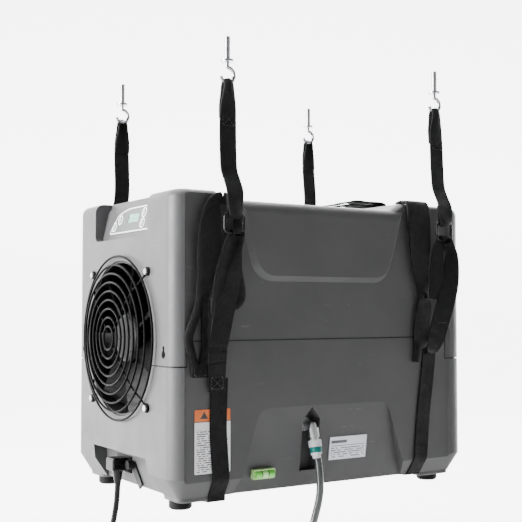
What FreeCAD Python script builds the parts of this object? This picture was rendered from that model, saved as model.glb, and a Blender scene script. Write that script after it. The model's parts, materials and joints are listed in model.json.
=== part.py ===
import FreeCAD, Part
import math
import os
import Sketcher
from FreeCAD import Placement, Rotation, Vector

# A portable dehumidifier hung from four ceiling hooks by two webbing slings.
# Millimetres. +X runs along the case away from the fan, -Y faces the drain side, +Z is up.
# Sub-parts are drawn in the case's own frame, with z = 0 under the rubber feet, and each
# node's Placement then carries it down to where it hangs: the origin is the centre of the
# four hook screws, at the ceiling.

doc = FreeCAD.newDocument("Dehumidifier")
sheet = doc.addObject("Spreadsheet::Sheet", "Sizes")
X_AXIS = Vector(1, 0, 0)
Y_AXIS = Vector(0, 1, 0)
Z_AXIS = Vector(0, 0, 1)


# ---------------------------------------------------------------------------- sizes

class Size:
    """A length that knows its number and the spreadsheet formula that it comes from."""

    def __init__(self, number, formula):
        self.number = number
        self.formula = formula

    def __float__(self):
        return float(self.number)

    def __add__(self, other):
        return Size(float(self) + float(other), f"({text(self)} + {text(other)})")

    def __radd__(self, other):
        return Size(float(other) + float(self), f"({text(other)} + {text(self)})")

    def __sub__(self, other):
        return Size(float(self) - float(other), f"({text(self)} - {text(other)})")

    def __rsub__(self, other):
        return Size(float(other) - float(self), f"({text(other)} - {text(self)})")

    def __mul__(self, other):
        return Size(float(self) * float(other), f"({text(self)} * {text(other)})")

    def __rmul__(self, other):
        return Size(float(other) * float(self), f"({text(other)} * {text(self)})")

    def __truediv__(self, other):
        return Size(float(self) / float(other), f"({text(self)} / {text(other)})")

    def __neg__(self):
        return Size(-float(self), f"(0 - {text(self)})")


def text(value):
    return value.formula if isinstance(value, Size) else repr(float(value))


def size(alias, number):
    """Puts one driving dimension in the next row of the spreadsheet."""
    size.row += 1
    sheet.set(f"A{size.row}", alias)
    sheet.set(f"B{size.row}", str(number))
    sheet.setAlias(f"B{size.row}", alias)
    return Size(float(number), f"Sizes.{alias}")


size.row = 0

# Case: a rounded box in two halves, with raised shoulders across both ends of its top.
case_length = size("case_length", 516)
case_width = size("case_width", 336)
case_top = size("case_top", 422)
shoulder_rise = size("shoulder_rise", 11)
shoulder_ramp = size("shoulder_ramp", 22)
case_floor = size("case_floor", 18)
corner_radius = size("corner_radius", 24)
top_fillet = size("top_fillet", 14)
bevel_top = size("bevel_top", 46)
bevel_inset = size("bevel_inset", 17)
wall = size("wall", 4)
side_inset = size("side_inset", 3)
left_column = size("left_column", 15)
right_column = size("right_column", 30)
boss_height = size("boss_height", 8)
boss_floor = size("boss_floor", 310)
boss_foot_width = size("boss_foot_width", 234)
boss_top_width = size("boss_top_width", 310)
boss_corner = size("boss_corner", 36)
boss_shift = size("boss_shift", 13)
boss_roll = size("boss_roll", 18)
scoop_top = size("scoop_top", 133)
scoop_depth = size("scoop_depth", 19)
scoop_top_width = size("scoop_top_width", 226)
scoop_foot_width = size("scoop_foot_width", 312)
scoop_corner = size("scoop_corner", 24)
scoop_shift = size("scoop_shift", 9)
seam_low = size("seam_low", 194)
seam_high = size("seam_high", 228)
seam_gap = size("seam_gap", 2)
leg_floor = size("leg_floor", 12)
leg_length = size("leg_length", 62)
leg_width = size("leg_width", 52)
foot_x = size("foot_x", 222)
foot_y = size("foot_y", 119)
foot_radius = size("foot_radius", 16)

# Openings in the case
fan_y = size("fan_y", 5)
fan_z = size("fan_z", 229)
fan_opening_radius = size("fan_opening_radius", 113)
intake_width = size("intake_width", 220)
intake_floor = size("intake_floor", 105)
intake_top = size("intake_top", 345)
console_low_y = size("console_low_y", -86)
console_high_y = size("console_high_y", 96)
console_floor = size("console_floor", 374)
console_depth = size("console_depth", 17)
inlet_low_y = size("inlet_low_y", -84)
inlet_high_y = size("inlet_high_y", 96)
inlet_top = size("inlet_top", 65)
inlet_depth = size("inlet_depth", 20)
notch_x = size("notch_x", -33)
notch_width = size("notch_width", 30)
notch_depth = size("notch_depth", 32)
notch_floor = size("notch_floor", 40)
notch_top = size("notch_top", 114)
notch_peak = size("notch_peak", 131)
slot_x = size("slot_x", 243)
slot_thickness = size("slot_thickness", 16)
slot_floor = size("slot_floor", 96)
slot_top = size("slot_top", 338)

# Fan and guard
guard_radius = size("guard_radius", 119)
guard_wire = size("guard_wire", 3.2)
guard_rings = size("guard_rings", 9)
guard_hub_radius = size("guard_hub_radius", 17)
guard_stand = size("guard_stand", 12)
tab_reach = size("tab_reach", 133)
shroud_depth = size("shroud_depth", 44)
shroud_wall = size("shroud_wall", 3)
blade_tip_radius = size("blade_tip_radius", 108)
hub_radius = size("hub_radius", 38)
hub_depth = size("hub_depth", 30)
motor_radius = size("motor_radius", 34)
motor_length = size("motor_length", 46)
shaft_radius = size("shaft_radius", 4)

# Console
console_tilt = size("console_tilt", 13)
button_travel = size("button_travel", 0.8)
button_radius = size("button_radius", 4.5)
button_pitch = size("button_pitch", 15)

# Power inlet, cord, drain and hose
cord_diameter = size("cord_diameter", 8.5)
cord_coil_diameter = size("cord_coil_diameter", 98)
cord_coil_bundle = size("cord_coil_bundle", 41)
connector_x = size("connector_x", -250)
connector_y = size("connector_y", 25)
connector_z = size("connector_z", 44)
hose_diameter = size("hose_diameter", 11)
hose_coil_diameter = size("hose_coil_diameter", 128)
hose_coil_bundle = size("hose_coil_bundle", 53)
coupling_y = size("coupling_y", -158)
coupling_tilt = size("coupling_tilt", 14)

# Webbing
hang_level = size("hang_level", 612)
hook_spacing_x = size("hook_spacing_x", 377)
hook_spacing_y = size("hook_spacing_y", 344)
hook_centre_x = size("hook_centre_x", 8.5)
webbing_width = size("webbing_width", 26)
webbing_thickness = size("webbing_thickness", 3)
handle_width = size("handle_width", 86)
handle_thickness = size("handle_thickness", 12)

doc.recompute()

half_length = case_length / 2
half_width = case_width / 2
wall_y = half_width - side_inset
shoulder_top = case_top + shoulder_rise


# ---------------------------------------------------------------------------- drawing helpers

def bind(feature, prop, value):
    """Sets a property: by expression for a sheet size, as a plain number otherwise."""
    if isinstance(value, Size):
        feature.setExpression(prop, value.formula)
    else:
        setattr(feature, prop, value)


def place(feature, x, y, z, axis=None, angle=0.0):
    """Puts a feature at a position, turned about an axis by an angle in degrees."""
    turn = Rotation(axis, float(angle)) if axis is not None else Rotation()
    feature.Placement = Placement(Vector(float(x), float(y), float(z)), turn)
    for letter, value in (("x", x), ("y", y), ("z", z)):
        if isinstance(value, Size):
            feature.setExpression(f".Placement.Base.{letter}", value.formula)
    return feature


def block(low_x, low_y, low_z, high_x, high_y, high_z):
    """A box between two corners."""
    feature = doc.addObject("Part::Box", "Block")
    bind(feature, "Length", high_x - low_x)
    bind(feature, "Width", high_y - low_y)
    bind(feature, "Height", high_z - low_z)
    return place(feature, low_x, low_y, low_z)


def cylinder(radius, height, x, y, z, axis=None, angle=0.0):
    """A cylinder that stands on (x, y, z), along Z unless it is turned."""
    feature = doc.addObject("Part::Cylinder", "Cylinder")
    bind(feature, "Radius", radius)
    bind(feature, "Height", height)
    return place(feature, x, y, z, axis, angle)


def along_x(radius, height, x, y, z):
    return cylinder(radius, height, x, y, z, Y_AXIS, 90)


def along_y(radius, height, x, y, z):
    return cylinder(radius, height, x, y, z, X_AXIS, -90)


def fuse(*features):
    feature = doc.addObject("Part::MultiFuse", "Fuse")
    feature.Shapes = list(features)
    return feature


def cut(base, *tools):
    feature = doc.addObject("Part::Cut", "Cut")
    feature.Base = base
    feature.Tool = tools[0] if len(tools) == 1 else fuse(*tools)
    return feature


def common(*features):
    feature = doc.addObject("Part::MultiCommon", "Common")
    feature.Shapes = list(features)
    return feature


def solid(shape, name="Shape"):
    """A feature around a shape worked out from the sizes, where no primitive fits."""
    feature = doc.addObject("Part::Feature", name)
    feature.Shape = shape
    return feature


def body(name):
    return doc.addObject("PartDesign::Body", name)


def sketch_on(owner, plane, x=0.0, y=0.0, z=0.0):
    """A sketch on one of the body's own planes, its origin moved within and off the plane."""
    sketch = owner.newObject("Sketcher::SketchObject", "Outline")
    support = [item for item in owner.Origin.OriginFeatures if item.Role == plane][0]
    sketch.AttachmentSupport = [(support, "")]
    sketch.MapMode = "FlatFace"
    sketch.AttachmentOffset = Placement(Vector(float(x), float(y), float(z)), Rotation())
    for letter, value in (("x", x), ("y", y), ("z", z)):
        if isinstance(value, Size):
            sketch.setExpression(f".AttachmentOffset.Base.{letter}", value.formula)
    return sketch


def hold(sketch, kind, geometry, point, value):
    """Fixes one coordinate of a sketch point from the sketch's origin."""
    number = float(value)
    if abs(number) < 1e-9:
        axis = -2 if kind == "DistanceX" else -1
        sketch.addConstraint(Sketcher.Constraint("PointOnObject", geometry, point, axis))
        return
    ends = (-1, 1, geometry, point) if number > 0 else (geometry, point, -1, 1)
    index = sketch.addConstraint(Sketcher.Constraint(kind, *ends, abs(number)))
    if isinstance(value, Size):
        formula = value.formula if number > 0 else f"0 - {value.formula}"
        sketch.setExpression(f"Constraints[{index}]", formula)


def outline(sketch, points):
    """A closed run of straight lines through points whose coordinates are sizes or numbers."""
    first = sketch.GeometryCount
    corners = [Vector(float(x), float(y), 0) for x, y in points]
    count = len(corners)
    for index, corner in enumerate(corners):
        sketch.addGeometry(Part.LineSegment(corner, corners[(index + 1) % count]), False)
    for index in range(count):
        here = first + index
        following = first + (index + 1) % count
        sketch.addConstraint(Sketcher.Constraint("Coincident", here, 2, following, 1))
    for index, (x, y) in enumerate(points):
        hold(sketch, "DistanceX", first + index, 1, x)
        hold(sketch, "DistanceY", first + index, 1, y)
    return sketch


def rectangle(sketch, width, height):
    """A rectangle centred on the sketch's origin."""
    half_w = width / 2
    half_h = height / 2
    return outline(sketch, [(-half_w, -half_h), (half_w, -half_h), (half_w, half_h), (-half_w, half_h)])


def circle(sketch, radius, x=0.0, y=0.0):
    index = sketch.addGeometry(
        Part.Circle(Vector(float(x), float(y), 0), Z_AXIS, float(radius)), False)
    hold(sketch, "DistanceX", index, 3, x)
    hold(sketch, "DistanceY", index, 3, y)
    constraint = sketch.addConstraint(Sketcher.Constraint("Radius", index, float(radius)))
    if isinstance(radius, Size):
        sketch.setExpression(f"Constraints[{constraint}]", radius.formula)
    return sketch


def pad(owner, sketch, length, taper=0.0, reverse=False):
    feature = owner.newObject("PartDesign::Pad", "Pad")
    feature.Profile = sketch
    bind(feature, "Length", length)
    feature.Reversed = reverse
    bind(feature, "TaperAngle", taper)
    return feature


def pocket(owner, sketch, length, reverse=False):
    feature = owner.newObject("PartDesign::Pocket", "Pocket")
    feature.Profile = sketch
    bind(feature, "Length", length)
    feature.Reversed = reverse
    return feature


def revolve(owner, sketch, axis="V_Axis"):
    feature = owner.newObject("PartDesign::Revolution", "Revolution")
    feature.Profile = sketch
    feature.ReferenceAxis = (sketch, [axis])
    feature.Angle = 360
    return feature


def edges_where(feature, test):
    """Names of the feature's edges whose middle point and direction pass a test."""
    names = []
    for index, edge in enumerate(feature.Shape.Edges, start=1):
        middle = edge.valueAt((edge.FirstParameter + edge.LastParameter) / 2)
        direction = edge.tangentAt((edge.FirstParameter + edge.LastParameter) / 2)
        if test(middle, direction):
            names.append(f"Edge{index}")
    return names


def round_edges(owner, radius, test):
    """A fillet on the edges of the body's last feature that pass a test."""
    doc.recompute()
    base = owner.Tip
    feature = owner.newObject("PartDesign::Fillet", "Fillet")
    feature.Base = (base, edges_where(base, test))
    bind(feature, "Radius", radius)
    return feature


def bevel_edges(owner, distance, test):
    """An equal chamfer on the edges of the body's last feature that pass a test."""
    doc.recompute()
    base = owner.Tip
    feature = owner.newObject("PartDesign::Chamfer", "Chamfer")
    feature.Base = (base, edges_where(base, test))
    bind(feature, "Size", distance)
    return feature


def is_along(direction, axis):
    return abs(direction.dot(axis)) > 0.999


def on_circle(count, radius, start=0.0):
    """Points evenly spaced round a circle, as (across, up) pairs."""
    angles = [math.radians(start + 360 / count * index) for index in range(count)]
    return [(float(radius) * math.cos(angle), float(radius) * math.sin(angle)) for angle in angles]


def straight_runs(points, radius):
    """A bent wire or bar: a cylinder along each run, with a ball at each bend."""
    vectors = [Vector(*[float(value) for value in point]) for point in points]
    pieces = [Part.makeSphere(radius, point) for point in vectors[1:-1]]
    for start, end in zip(vectors, vectors[1:]):
        pieces.append(Part.makeCylinder(radius, (end - start).Length, start, end - start))
    return pieces[0].multiFuse(pieces[1:]) if len(pieces) > 1 else pieces[0]


def tube(points, diameter, name):
    """A round tube along straight runs joined by tangent arcs, and a line on its bends."""
    corners = [Vector(*[float(value) for value in point]) for point in points]
    edges = []
    radii = []
    cursor = corners[0]
    for before, corner, after in zip(corners, corners[1:], corners[2:]):
        into = (corner - before).normalize()
        out = (after - corner).normalize()
        half_turn = into.getAngle(out) / 2
        reach = 0.45 * min((corner - before).Length, (after - corner).Length)
        radii.append(reach / math.tan(half_turn))
        start = corner - into * reach
        end = corner + out * reach
        towards = (out - into).normalize()
        centre = corner + towards * (radii[-1] / math.cos(half_turn))
        middle = centre - towards * radii[-1]
        edges.append(Part.LineSegment(cursor, start).toShape())
        edges.append(Part.Arc(start, middle, end).toShape())
        cursor = end
    edges.append(Part.LineSegment(cursor, corners[-1]).toShape())
    path = Part.Wire(edges)
    section = Part.Wire([Part.Circle(corners[0], corners[1] - corners[0], diameter / 2).toShape()])
    shape = path.makePipeShell([section], True, False)
    expected = math.pi * (diameter / 2) ** 2 * path.Length
    print(f"{name}: length {path.Length:.0f} mm, volume off by {shape.Volume / expected - 1:+.2%},"
          f" radii {[round(radius) for radius in radii]}")
    return shape


NODES = []


def node(label, *features):
    """Finishes a sub-part: labels it and hangs it below the ceiling hooks."""
    drawn = ("PartDesign::Body", "Part::Cut", "Part::MultiFuse", "Part::MultiCommon")
    if len(features) == 1 and features[0].TypeId in drawn and features[0].Placement.isIdentity():
        feature = features[0]
    else:
        feature = doc.addObject("Part::Compound", "Node")
        feature.Links = list(features)
    feature.Label = label
    place(feature, -hook_centre_x, 0.0, -hang_level)
    NODES.append(feature)
    return feature


# ---------------------------------------------------------------------------- case

def rounded_case_sketch(owner, z):
    """The case's plan: a rectangle, whose corners the vertical fillets round afterwards."""
    return rectangle(sketch_on(owner, "XY_Plane", z=z), case_length, case_width)


def upper_form():
    """The case above the bevel: rounded corners, raised end shoulders, side panels and bosses."""
    owner = body("UpperForm")
    pad(owner, rounded_case_sketch(owner, bevel_top), shoulder_top - bevel_top)
    round_edges(owner, corner_radius, lambda middle, direction: is_along(direction, Z_AXIS))
    saddle = sketch_on(owner, "XZ_Plane")
    left = -half_length + 86
    right = half_length - 142
    outline(saddle, [(left, case_top), (right, case_top), (right + shoulder_ramp, shoulder_top + 1),
                     (left - shoulder_ramp, shoulder_top + 1)])
    feature = pocket(owner, saddle, case_width + 10)
    feature.Midplane = True
    round_edges(owner, top_fillet, lambda middle, direction: (
        middle.z > float(case_top) - 1 and not is_along(direction, Y_AXIS)
        and (abs(middle.y) > float(half_width) - 12 or abs(middle.x) > float(half_length) - 12))
        or (abs(middle.x) > float(half_length) - 1 and middle.z > float(case_top)))
    return owner


def lower_form():
    """The bevelled foot of the case."""
    owner = body("LowerForm")
    pad(owner, rounded_case_sketch(owner, bevel_top), bevel_top - case_floor, reverse=True)
    round_edges(owner, corner_radius, lambda middle, direction: is_along(direction, Z_AXIS))
    doc.recompute()
    base = owner.Tip
    bevel = owner.newObject("PartDesign::Chamfer", "Chamfer")
    bevel.Base = (base, edges_where(base, lambda middle, direction: middle.z < float(case_floor) + 0.01))
    bevel.ChamferType = "Two distances"
    bind(bevel, "Size", bevel_inset)
    bind(bevel, "Size2", bevel_top - case_floor - 0.5)
    bevel.FlipDirection = True
    return owner


def boss_form(side):
    """The raised panel on a long face: rounded lower corners, sloping edges and a rolled top."""
    owner = body("Boss")
    head = case_top + 20
    face = sketch_on(owner, "XZ_Plane", x=-boss_shift, z=wall_y - top_fillet)
    outline(face, [(-boss_foot_width / 2, boss_floor), (boss_foot_width / 2, boss_floor),
                   (boss_top_width / 2, head), (-boss_top_width / 2, head)])
    pad(owner, face, top_fillet + boss_height)
    round_edges(owner, boss_corner, lambda middle, direction: (
        middle.z < float(boss_floor) + 1 and is_along(direction, Y_AXIS)))
    bevel_edges(owner, boss_height - 0.5, lambda middle, direction: (
        middle.y < -float(wall_y + boss_height) + 0.01))
    roll = body("BossRoll")
    profile = sketch_on(roll, "YZ_Plane", z=-half_length)
    outline(profile, [(-wall_y + top_fillet, boss_floor - 5), (-wall_y - boss_height, boss_floor - 5),
                      (-wall_y - boss_height, case_top), (-wall_y + top_fillet, case_top)])
    pad(roll, profile, case_length)
    round_edges(roll, boss_roll, lambda middle, direction: (
        middle.z > float(case_top) - 1 and middle.y < -float(wall_y) and is_along(direction, X_AXIS)))
    return place(common(owner, roll), 0, 0, 0, Z_AXIS, 0 if side < 0 else 180)


def side_panel_cutter(side):
    """The shallow recess of a long face between the two corner columns."""
    owner = body("SidePanel")
    plan = sketch_on(owner, "XY_Plane")
    left = -half_length + left_column
    right = half_length - right_column
    y = -half_width if side < 0 else half_width
    inner = y + side_inset if side < 0 else y - side_inset
    outer = y - 2 if side < 0 else y + 2
    outline(plan, [(left - 2, outer), (left + 3, inner), (right - 3, inner), (right + 2, outer)])
    pad(owner, plan, shoulder_top + 4)
    return owner


def scoop_cutter(side):
    """The toe recess low on a long face: a rounded outline, deepening towards the floor."""
    owner = body("Scoop")
    face = sketch_on(owner, "XZ_Plane", x=-scoop_shift, z=half_width - scoop_depth - 6)
    outline(face, [(-scoop_foot_width / 2, 0.0), (scoop_foot_width / 2, 0.0),
                   (scoop_top_width / 2, scoop_top), (-scoop_top_width / 2, scoop_top)])
    pad(owner, face, scoop_depth + 10)
    round_edges(owner, scoop_corner, lambda middle, direction: (
        middle.z > float(scoop_top) - 1 and is_along(direction, Y_AXIS)))
    slope = body("ScoopSlope")
    profile = sketch_on(slope, "YZ_Plane", z=-half_length)
    outline(profile, [(-wall_y + 0.3, scoop_top + 2), (-half_width - 6, scoop_top + 2),
                      (-half_width - 6, 0.0), (-wall_y + scoop_depth, 0.0)])
    pad(slope, profile, case_length)
    return place(common(owner, slope), 0, 0, 0, Z_AXIS, 0 if side < 0 else 180)


def legs():
    """Four short legs that carry the feet a little below the case's floor."""
    pieces = []
    for x in (-1, 1):
        for y in (-1, 1):
            owner = body("Leg")
            centre_x = x * (half_length - bevel_inset - leg_length / 2)
            centre_y = y * (half_width - bevel_inset - leg_width / 2)
            plan = sketch_on(owner, "XY_Plane", x=centre_x, y=centre_y, z=leg_floor)
            rectangle(plan, leg_length, leg_width)
            pad(owner, plan, case_floor - leg_floor + 6)
            round_edges(owner, 10, lambda middle, direction: is_along(direction, Z_AXIS))
            round_edges(owner, 3, lambda middle, direction: middle.z < float(leg_floor) + 0.01)
            pieces.append(owner)
    return pieces


def cavity():
    """The hollow of the case: narrower low down, where the recesses reach in."""
    owner = body("Hollow")
    upper = sketch_on(owner, "XY_Plane", z=scoop_top + 3)
    rectangle(upper, case_length - 2 * wall, 2 * (wall_y - wall))
    pad(owner, upper, case_top - 2 * wall - scoop_top - 3)
    round_edges(owner, 20, lambda middle, direction: is_along(direction, Z_AXIS))
    lower = sketch_on(owner, "XY_Plane", z=case_floor + wall)
    rectangle(lower, case_length - 2 * (inlet_depth + wall), 2 * (wall_y - scoop_depth - wall))
    pad(owner, lower, scoop_top + 4 - case_floor - wall)
    return owner


def drain_notch(clearance):
    """The notch that holds the drain coupling: a slot with a pyramid roof, open at the front."""
    owner = body("Notch")
    face = sketch_on(owner, "XZ_Plane", x=notch_x, z=half_width - notch_depth - clearance)
    half = notch_width / 2 + clearance
    outline(face, [(-half, notch_floor - clearance), (half, notch_floor - clearance),
                   (half, notch_top + clearance), (0.0, notch_peak + clearance), (-half, notch_top + clearance)])
    pad(owner, face, notch_depth + clearance + 12)
    return owner


def inlet_recess():
    """The recess low on the fan end that holds the power inlet, open at the bottom."""
    owner = body("InletRecess")
    face = sketch_on(owner, "YZ_Plane", z=-half_length - 5)
    outline(face, [(inlet_high_y - 18, 0.0), (inlet_high_y, inlet_top), (inlet_low_y, inlet_top),
                   (inlet_low_y - 30, 0.0)])
    pad(owner, face, inlet_depth + 5)
    return owner


def console_recess(lining):
    """The notch across the top edge of the fan end that holds the control console, with room for a lining."""
    owner = body("ConsoleRecess")
    floor = console_floor - lining
    back = -half_length + console_depth - 3 + lining
    profile = sketch_on(owner, "XZ_Plane", z=-console_high_y - lining)
    outline(profile, [(-half_length - 5, floor), (back, floor),
                      (back + 14, shoulder_top + 2), (-half_length - 5, shoulder_top + 2)])
    pad(owner, profile, console_high_y - console_low_y + 2 * lining)
    round_edges(owner, 9, lambda middle, direction: (
        middle.z < float(console_floor) + 1 and is_along(direction, X_AXIS)))
    return owner


def screw_pockets():
    """Teardrop pockets beside the seam for the screws that pull the halves together."""
    pieces = []
    start = -half_length - 1
    for side in (-1, 1):
        centre_y = side * (half_width - 31)
        pieces.append(along_x(5.5, 12, start, centre_y, seam_low + 16))
        pieces.append(block(start, centre_y - 2.5, seam_low + 16, start + 12, centre_y + 2.5, seam_low + 27))
    return pieces


def screw_bosses():
    """The blind walls behind the screw pockets."""
    low_x = -half_length + 1
    return [block(low_x, side * (half_width - 31) - 9, seam_low + 6, low_x + 13, side * (half_width - 31) + 9,
                  seam_low + 31) for side in (-1, 1)]


def case_openings():
    low_y = -intake_width / 2
    return [
        along_x(fan_opening_radius, 34, -half_length - 4, fan_y, fan_z),
        along_x(fan_opening_radius + 12, 4.0, -half_length + wall, fan_y, fan_z),
        block(-half_length + inlet_depth - 1, connector_y - 14.8, connector_z - 10.8,
              -half_length + inlet_depth + 14, connector_y + 14.8, connector_z + 10.8),
        along_y(5.8, 16.0, -29.0, -half_width + notch_depth - 2, 104.0),
        block(slot_x - slot_thickness / 2, low_y - 8, slot_floor,
              half_length - wall + 0.5, half_width + 4, slot_top),
        block(half_length - 8, low_y, intake_floor, half_length + 4, intake_width / 2, intake_top),
    ]


def case_shell():
    outside = fuse(upper_form(), lower_form(), *legs())
    recessed = cut(outside, side_panel_cutter(-1), side_panel_cutter(1))
    bossed = fuse(recessed, boss_form(-1), boss_form(1))
    scooped = cut(bossed, scoop_cutter(-1), scoop_cutter(1), inlet_recess())
    hollowed = cut(scooped, cavity())
    lined = fuse(hollowed, common(drain_notch(wall), block(-half_length, -wall_y + scoop_depth, case_floor,
                                                          half_length, 0.0, case_top)),
                 common(console_recess(wall), upper_form()), *screw_bosses())
    return cut(lined, console_recess(0.0), drain_notch(0.0), *screw_pockets(), *case_openings(), *vent_slots())


def vent_slots():
    """A short row of breather slots low on the rear face."""
    return [block(x - 2.5, wall_y - scoop_depth - 8, 60, x + 2.5, half_width + 2, 92)
            for x in range(60, 121, 12)]


def below_seam(gap):
    """The space that the lower half takes: to the low seam at the ends, higher along the sides."""
    left = -half_length + 21 + gap
    right = half_length - 37 - gap
    return fuse(block(-half_length - 9, -half_width - 20, 0, half_length + 9, half_width + 20, seam_low - gap),
                block(left, -half_width - 20, 0, right, half_width + 20, seam_high - gap))


def build_case():
    shell = case_shell()
    node("lower_housing", common(shell, below_seam(seam_gap / 2)))
    node("upper_housing", cut(shell, below_seam(-seam_gap / 2)))
    inset = body("GasketForm")
    plan = sketch_on(inset, "XY_Plane", z=seam_low - 5)
    rectangle(plan, case_length - 3, 2 * (wall_y - 1.2))
    pad(inset, plan, seam_high - seam_low + 10)
    round_edges(inset, corner_radius, lambda middle, direction: is_along(direction, Z_AXIS))
    strip = cut(common(shell, inset), below_seam(seam_gap / 2))
    node("seam_gasket", common(strip, below_seam(-seam_gap / 2)))


build_case()


# ---------------------------------------------------------------------------- feet and screws

def build_feet():
    feet = []
    screws = []
    for x in (-foot_x, foot_x):
        for y in (-foot_y, foot_y):
            foot = body("Foot")
            circle(sketch_on(foot, "XY_Plane"), foot_radius)
            pad(foot, foot.Group[-1], leg_floor)
            bevel_edges(foot, 2.5, lambda middle, direction: middle.z < 0.01)
            well = sketch_on(foot, "XY_Plane")
            circle(well, 5.5)
            pocket(foot, well, 6.0, reverse=True)
            place(foot, x, y, 0.0)
            feet.append(cut(foot, cylinder(2.2, leg_floor, x, y, 0.0)))
            screws.append(fuse(cylinder(4.5, 2.6, x, y, 3.4), cylinder(2.1, 16.0, x, y, 6.0)))
    node("rubber_feet", *feet)
    return screws


def pan_head_screw(x, y, z, inward, head=4.2, shank=1.9, length=11.0):
    """A screw driven along X: its head stands out of the face at x."""
    low = x - 2.4 if inward > 0 else x
    start = x if inward > 0 else x - length
    return fuse(along_x(head, 2.4, low, y, z), along_x(shank, length, start, y, z))


def build_screws(foot_screws):
    seam_screws = [along_x(4.6, 3.0, -half_length + 7.9, side * (half_width - 31), seam_low + 16)
                   for side in (-1, 1)]
    node("case_screws", *foot_screws, *seam_screws)
    screws = [pan_head_screw(-half_length - 3.1, fan_y + across, fan_z + up, 1)
              for across, up in on_circle(4, tab_reach, 45)]
    for y in (-1, 1):
        for z in (intake_floor - 12, intake_top + 12):
            screws.append(pan_head_screw(half_length + 3, y * (intake_width / 2 + 8), z, -1))
    node("panel_screws", *screws)


# ---------------------------------------------------------------------------- fan

def guard_stand_at(radius):
    """How far the guard's domed rings stand off the case at a radius."""
    return float(guard_stand) * (1 - (radius / float(guard_radius)) ** 5) + 3.6


def build_fan_guard():
    """Concentric wire rings, welded to four bent spokes behind them that end in screw eyes."""
    wire = float(guard_wire) / 2
    face = -float(half_length) - wire
    centre_y = float(fan_y)
    centre_z = float(fan_z)
    inner = float(guard_hub_radius)
    pitch = (float(guard_radius) - inner) / (float(guard_rings) - 1)
    pieces = []
    for index in range(int(float(guard_rings))):
        radius = inner + pitch * index
        middle = Vector(face - guard_stand_at(radius), centre_y, centre_z)
        pieces.append(Part.makeTorus(radius, wire, middle, X_AXIS))
    bends = [inner - 5] + [inner + pitch * step for step in (4.5, 5.5, 6.5, 7.5)]
    for across, up in on_circle(4, 1, 45):
        def at(radius, stand):
            return (face - stand, centre_y + across * radius, centre_z + up * radius)
        spoke = [at(radius, guard_stand_at(radius) - 2.2) for radius in bends]
        pieces.append(straight_runs(spoke + [at(float(tab_reach) - 5, 0)], wire * 0.9))
        pieces.append(Part.makeTorus(5.2, wire * 0.9, Vector(*at(float(tab_reach), 0)), X_AXIS))
    node("fan_guard", solid(pieces[0].multiFuse(pieces[1:]), "Guard"))


def build_fan_shroud():
    """The ring round the blades, with four struts that carry the motor."""
    front = -half_length + wall
    ring = body("Shroud")
    profile = sketch_on(ring, "XY_Plane")
    outer = fan_opening_radius - 0.5
    inner = outer - shroud_wall
    outline(profile, [(inner, -2.5), (outer, -2.5), (outer, 0.3), (outer + 11, 0.3), (outer + 11, 3.3),
                      (outer, 3.3), (outer, shroud_depth), (inner, shroud_depth)])
    revolve(ring, profile)
    place(ring, front, fan_y, fan_z, Vector(0, 0, 1), -90)
    back = front + shroud_depth
    mount = cut(along_x(motor_radius + 4, 4.0, back - 4, fan_y, fan_z), along_x(7.0, 8.0, back - 6, fan_y, fan_z))
    struts = []
    for angle in range(45, 360, 90):
        strut = doc.addObject("Part::Box", "Strut")
        bind(strut, "Length", fan_opening_radius - motor_radius - 3)
        strut.Width = 9
        strut.Height = 4
        reach = float(motor_radius) + 1
        across = math.cos(math.radians(angle))
        up = math.sin(math.radians(angle))
        turn = Rotation(Vector(0, across, up), Vector(0, -up, across), X_AXIS, "XYZ")
        corner = Vector(float(back) - 4, float(fan_y) + across * reach + up * 4.5,
                        float(fan_z) + up * reach - across * 4.5)
        strut.Placement = Placement(corner, turn)
        struts.append(strut)
    node("fan_shroud", fuse(ring, mount, *struts))


def build_fan_motor():
    start = -half_length + wall + shroud_depth
    can = body("Motor")
    circle(sketch_on(can, "YZ_Plane"), motor_radius)
    pad(can, can.Group[-1], motor_length)
    round_edges(can, 5, lambda middle, direction: middle.x > float(motor_length) - 1)
    place(can, start, fan_y, fan_z)
    bore = along_x(shaft_radius + 0.05, 33.0, start - 1, fan_y, fan_z)
    box = block(start + 12, fan_y - 14, fan_z + motor_radius - 4, start + 38, fan_y + 14, fan_z + motor_radius + 14)
    node("fan_motor", cut(fuse(can, box), bore))


def build_fan_impeller():
    """Seven twisted blades on a domed hub, on the motor's shaft."""
    front = float(-half_length + wall) + 5
    hub_front = Part.makeCylinder(float(hub_radius), float(hub_depth), Vector(front, 0, 0), X_AXIS)
    hub = hub_front.makeFillet(8, [edge for edge in hub_front.Edges if abs(edge.CenterOfMass.x - front) < 0.01
                                   and edge.Length > 100])
    blades = []
    for index in range(7):
        sections = []
        for radius, pitch, chord in ((float(hub_radius) - 4, 48, 40), (72.0, 36, 56), (115.0, 27, 70)):
            tilt = math.radians(pitch)
            along = Vector(math.sin(tilt), math.cos(tilt), 0) * (chord / 2)
            thick = Vector(math.cos(tilt), -math.sin(tilt), 0) * 1.25
            centre = Vector(front + float(hub_depth) / 2, 0, radius)
            corners = [centre - along - thick, centre + along - thick, centre + along + thick,
                       centre - along + thick]
            sections.append(Part.makePolygon(corners + corners[:1]))
        blade = Part.makeLoft(sections, True, False)
        blade.rotate(Vector(), X_AXIS, 360 / 7 * index)
        blades.append(blade)
    tip = Part.makeCylinder(float(blade_tip_radius), 60, Vector(front - 10, 0, 0), X_AXIS)
    shaft = Part.makeCylinder(float(shaft_radius), float(hub_depth) + 36, Vector(front + 2, 0, 0), X_AXIS)
    shape = hub.multiFuse([blade.common(tip) for blade in blades] + [shaft])
    shape.translate(Vector(0, float(fan_y), float(fan_z)))
    node("fan_impeller", solid(shape, "Impeller"))


build_screws(build_feet())
build_fan_guard()
build_fan_shroud()
build_fan_motor()
build_fan_impeller()


# ---------------------------------------------------------------------------- console

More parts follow.
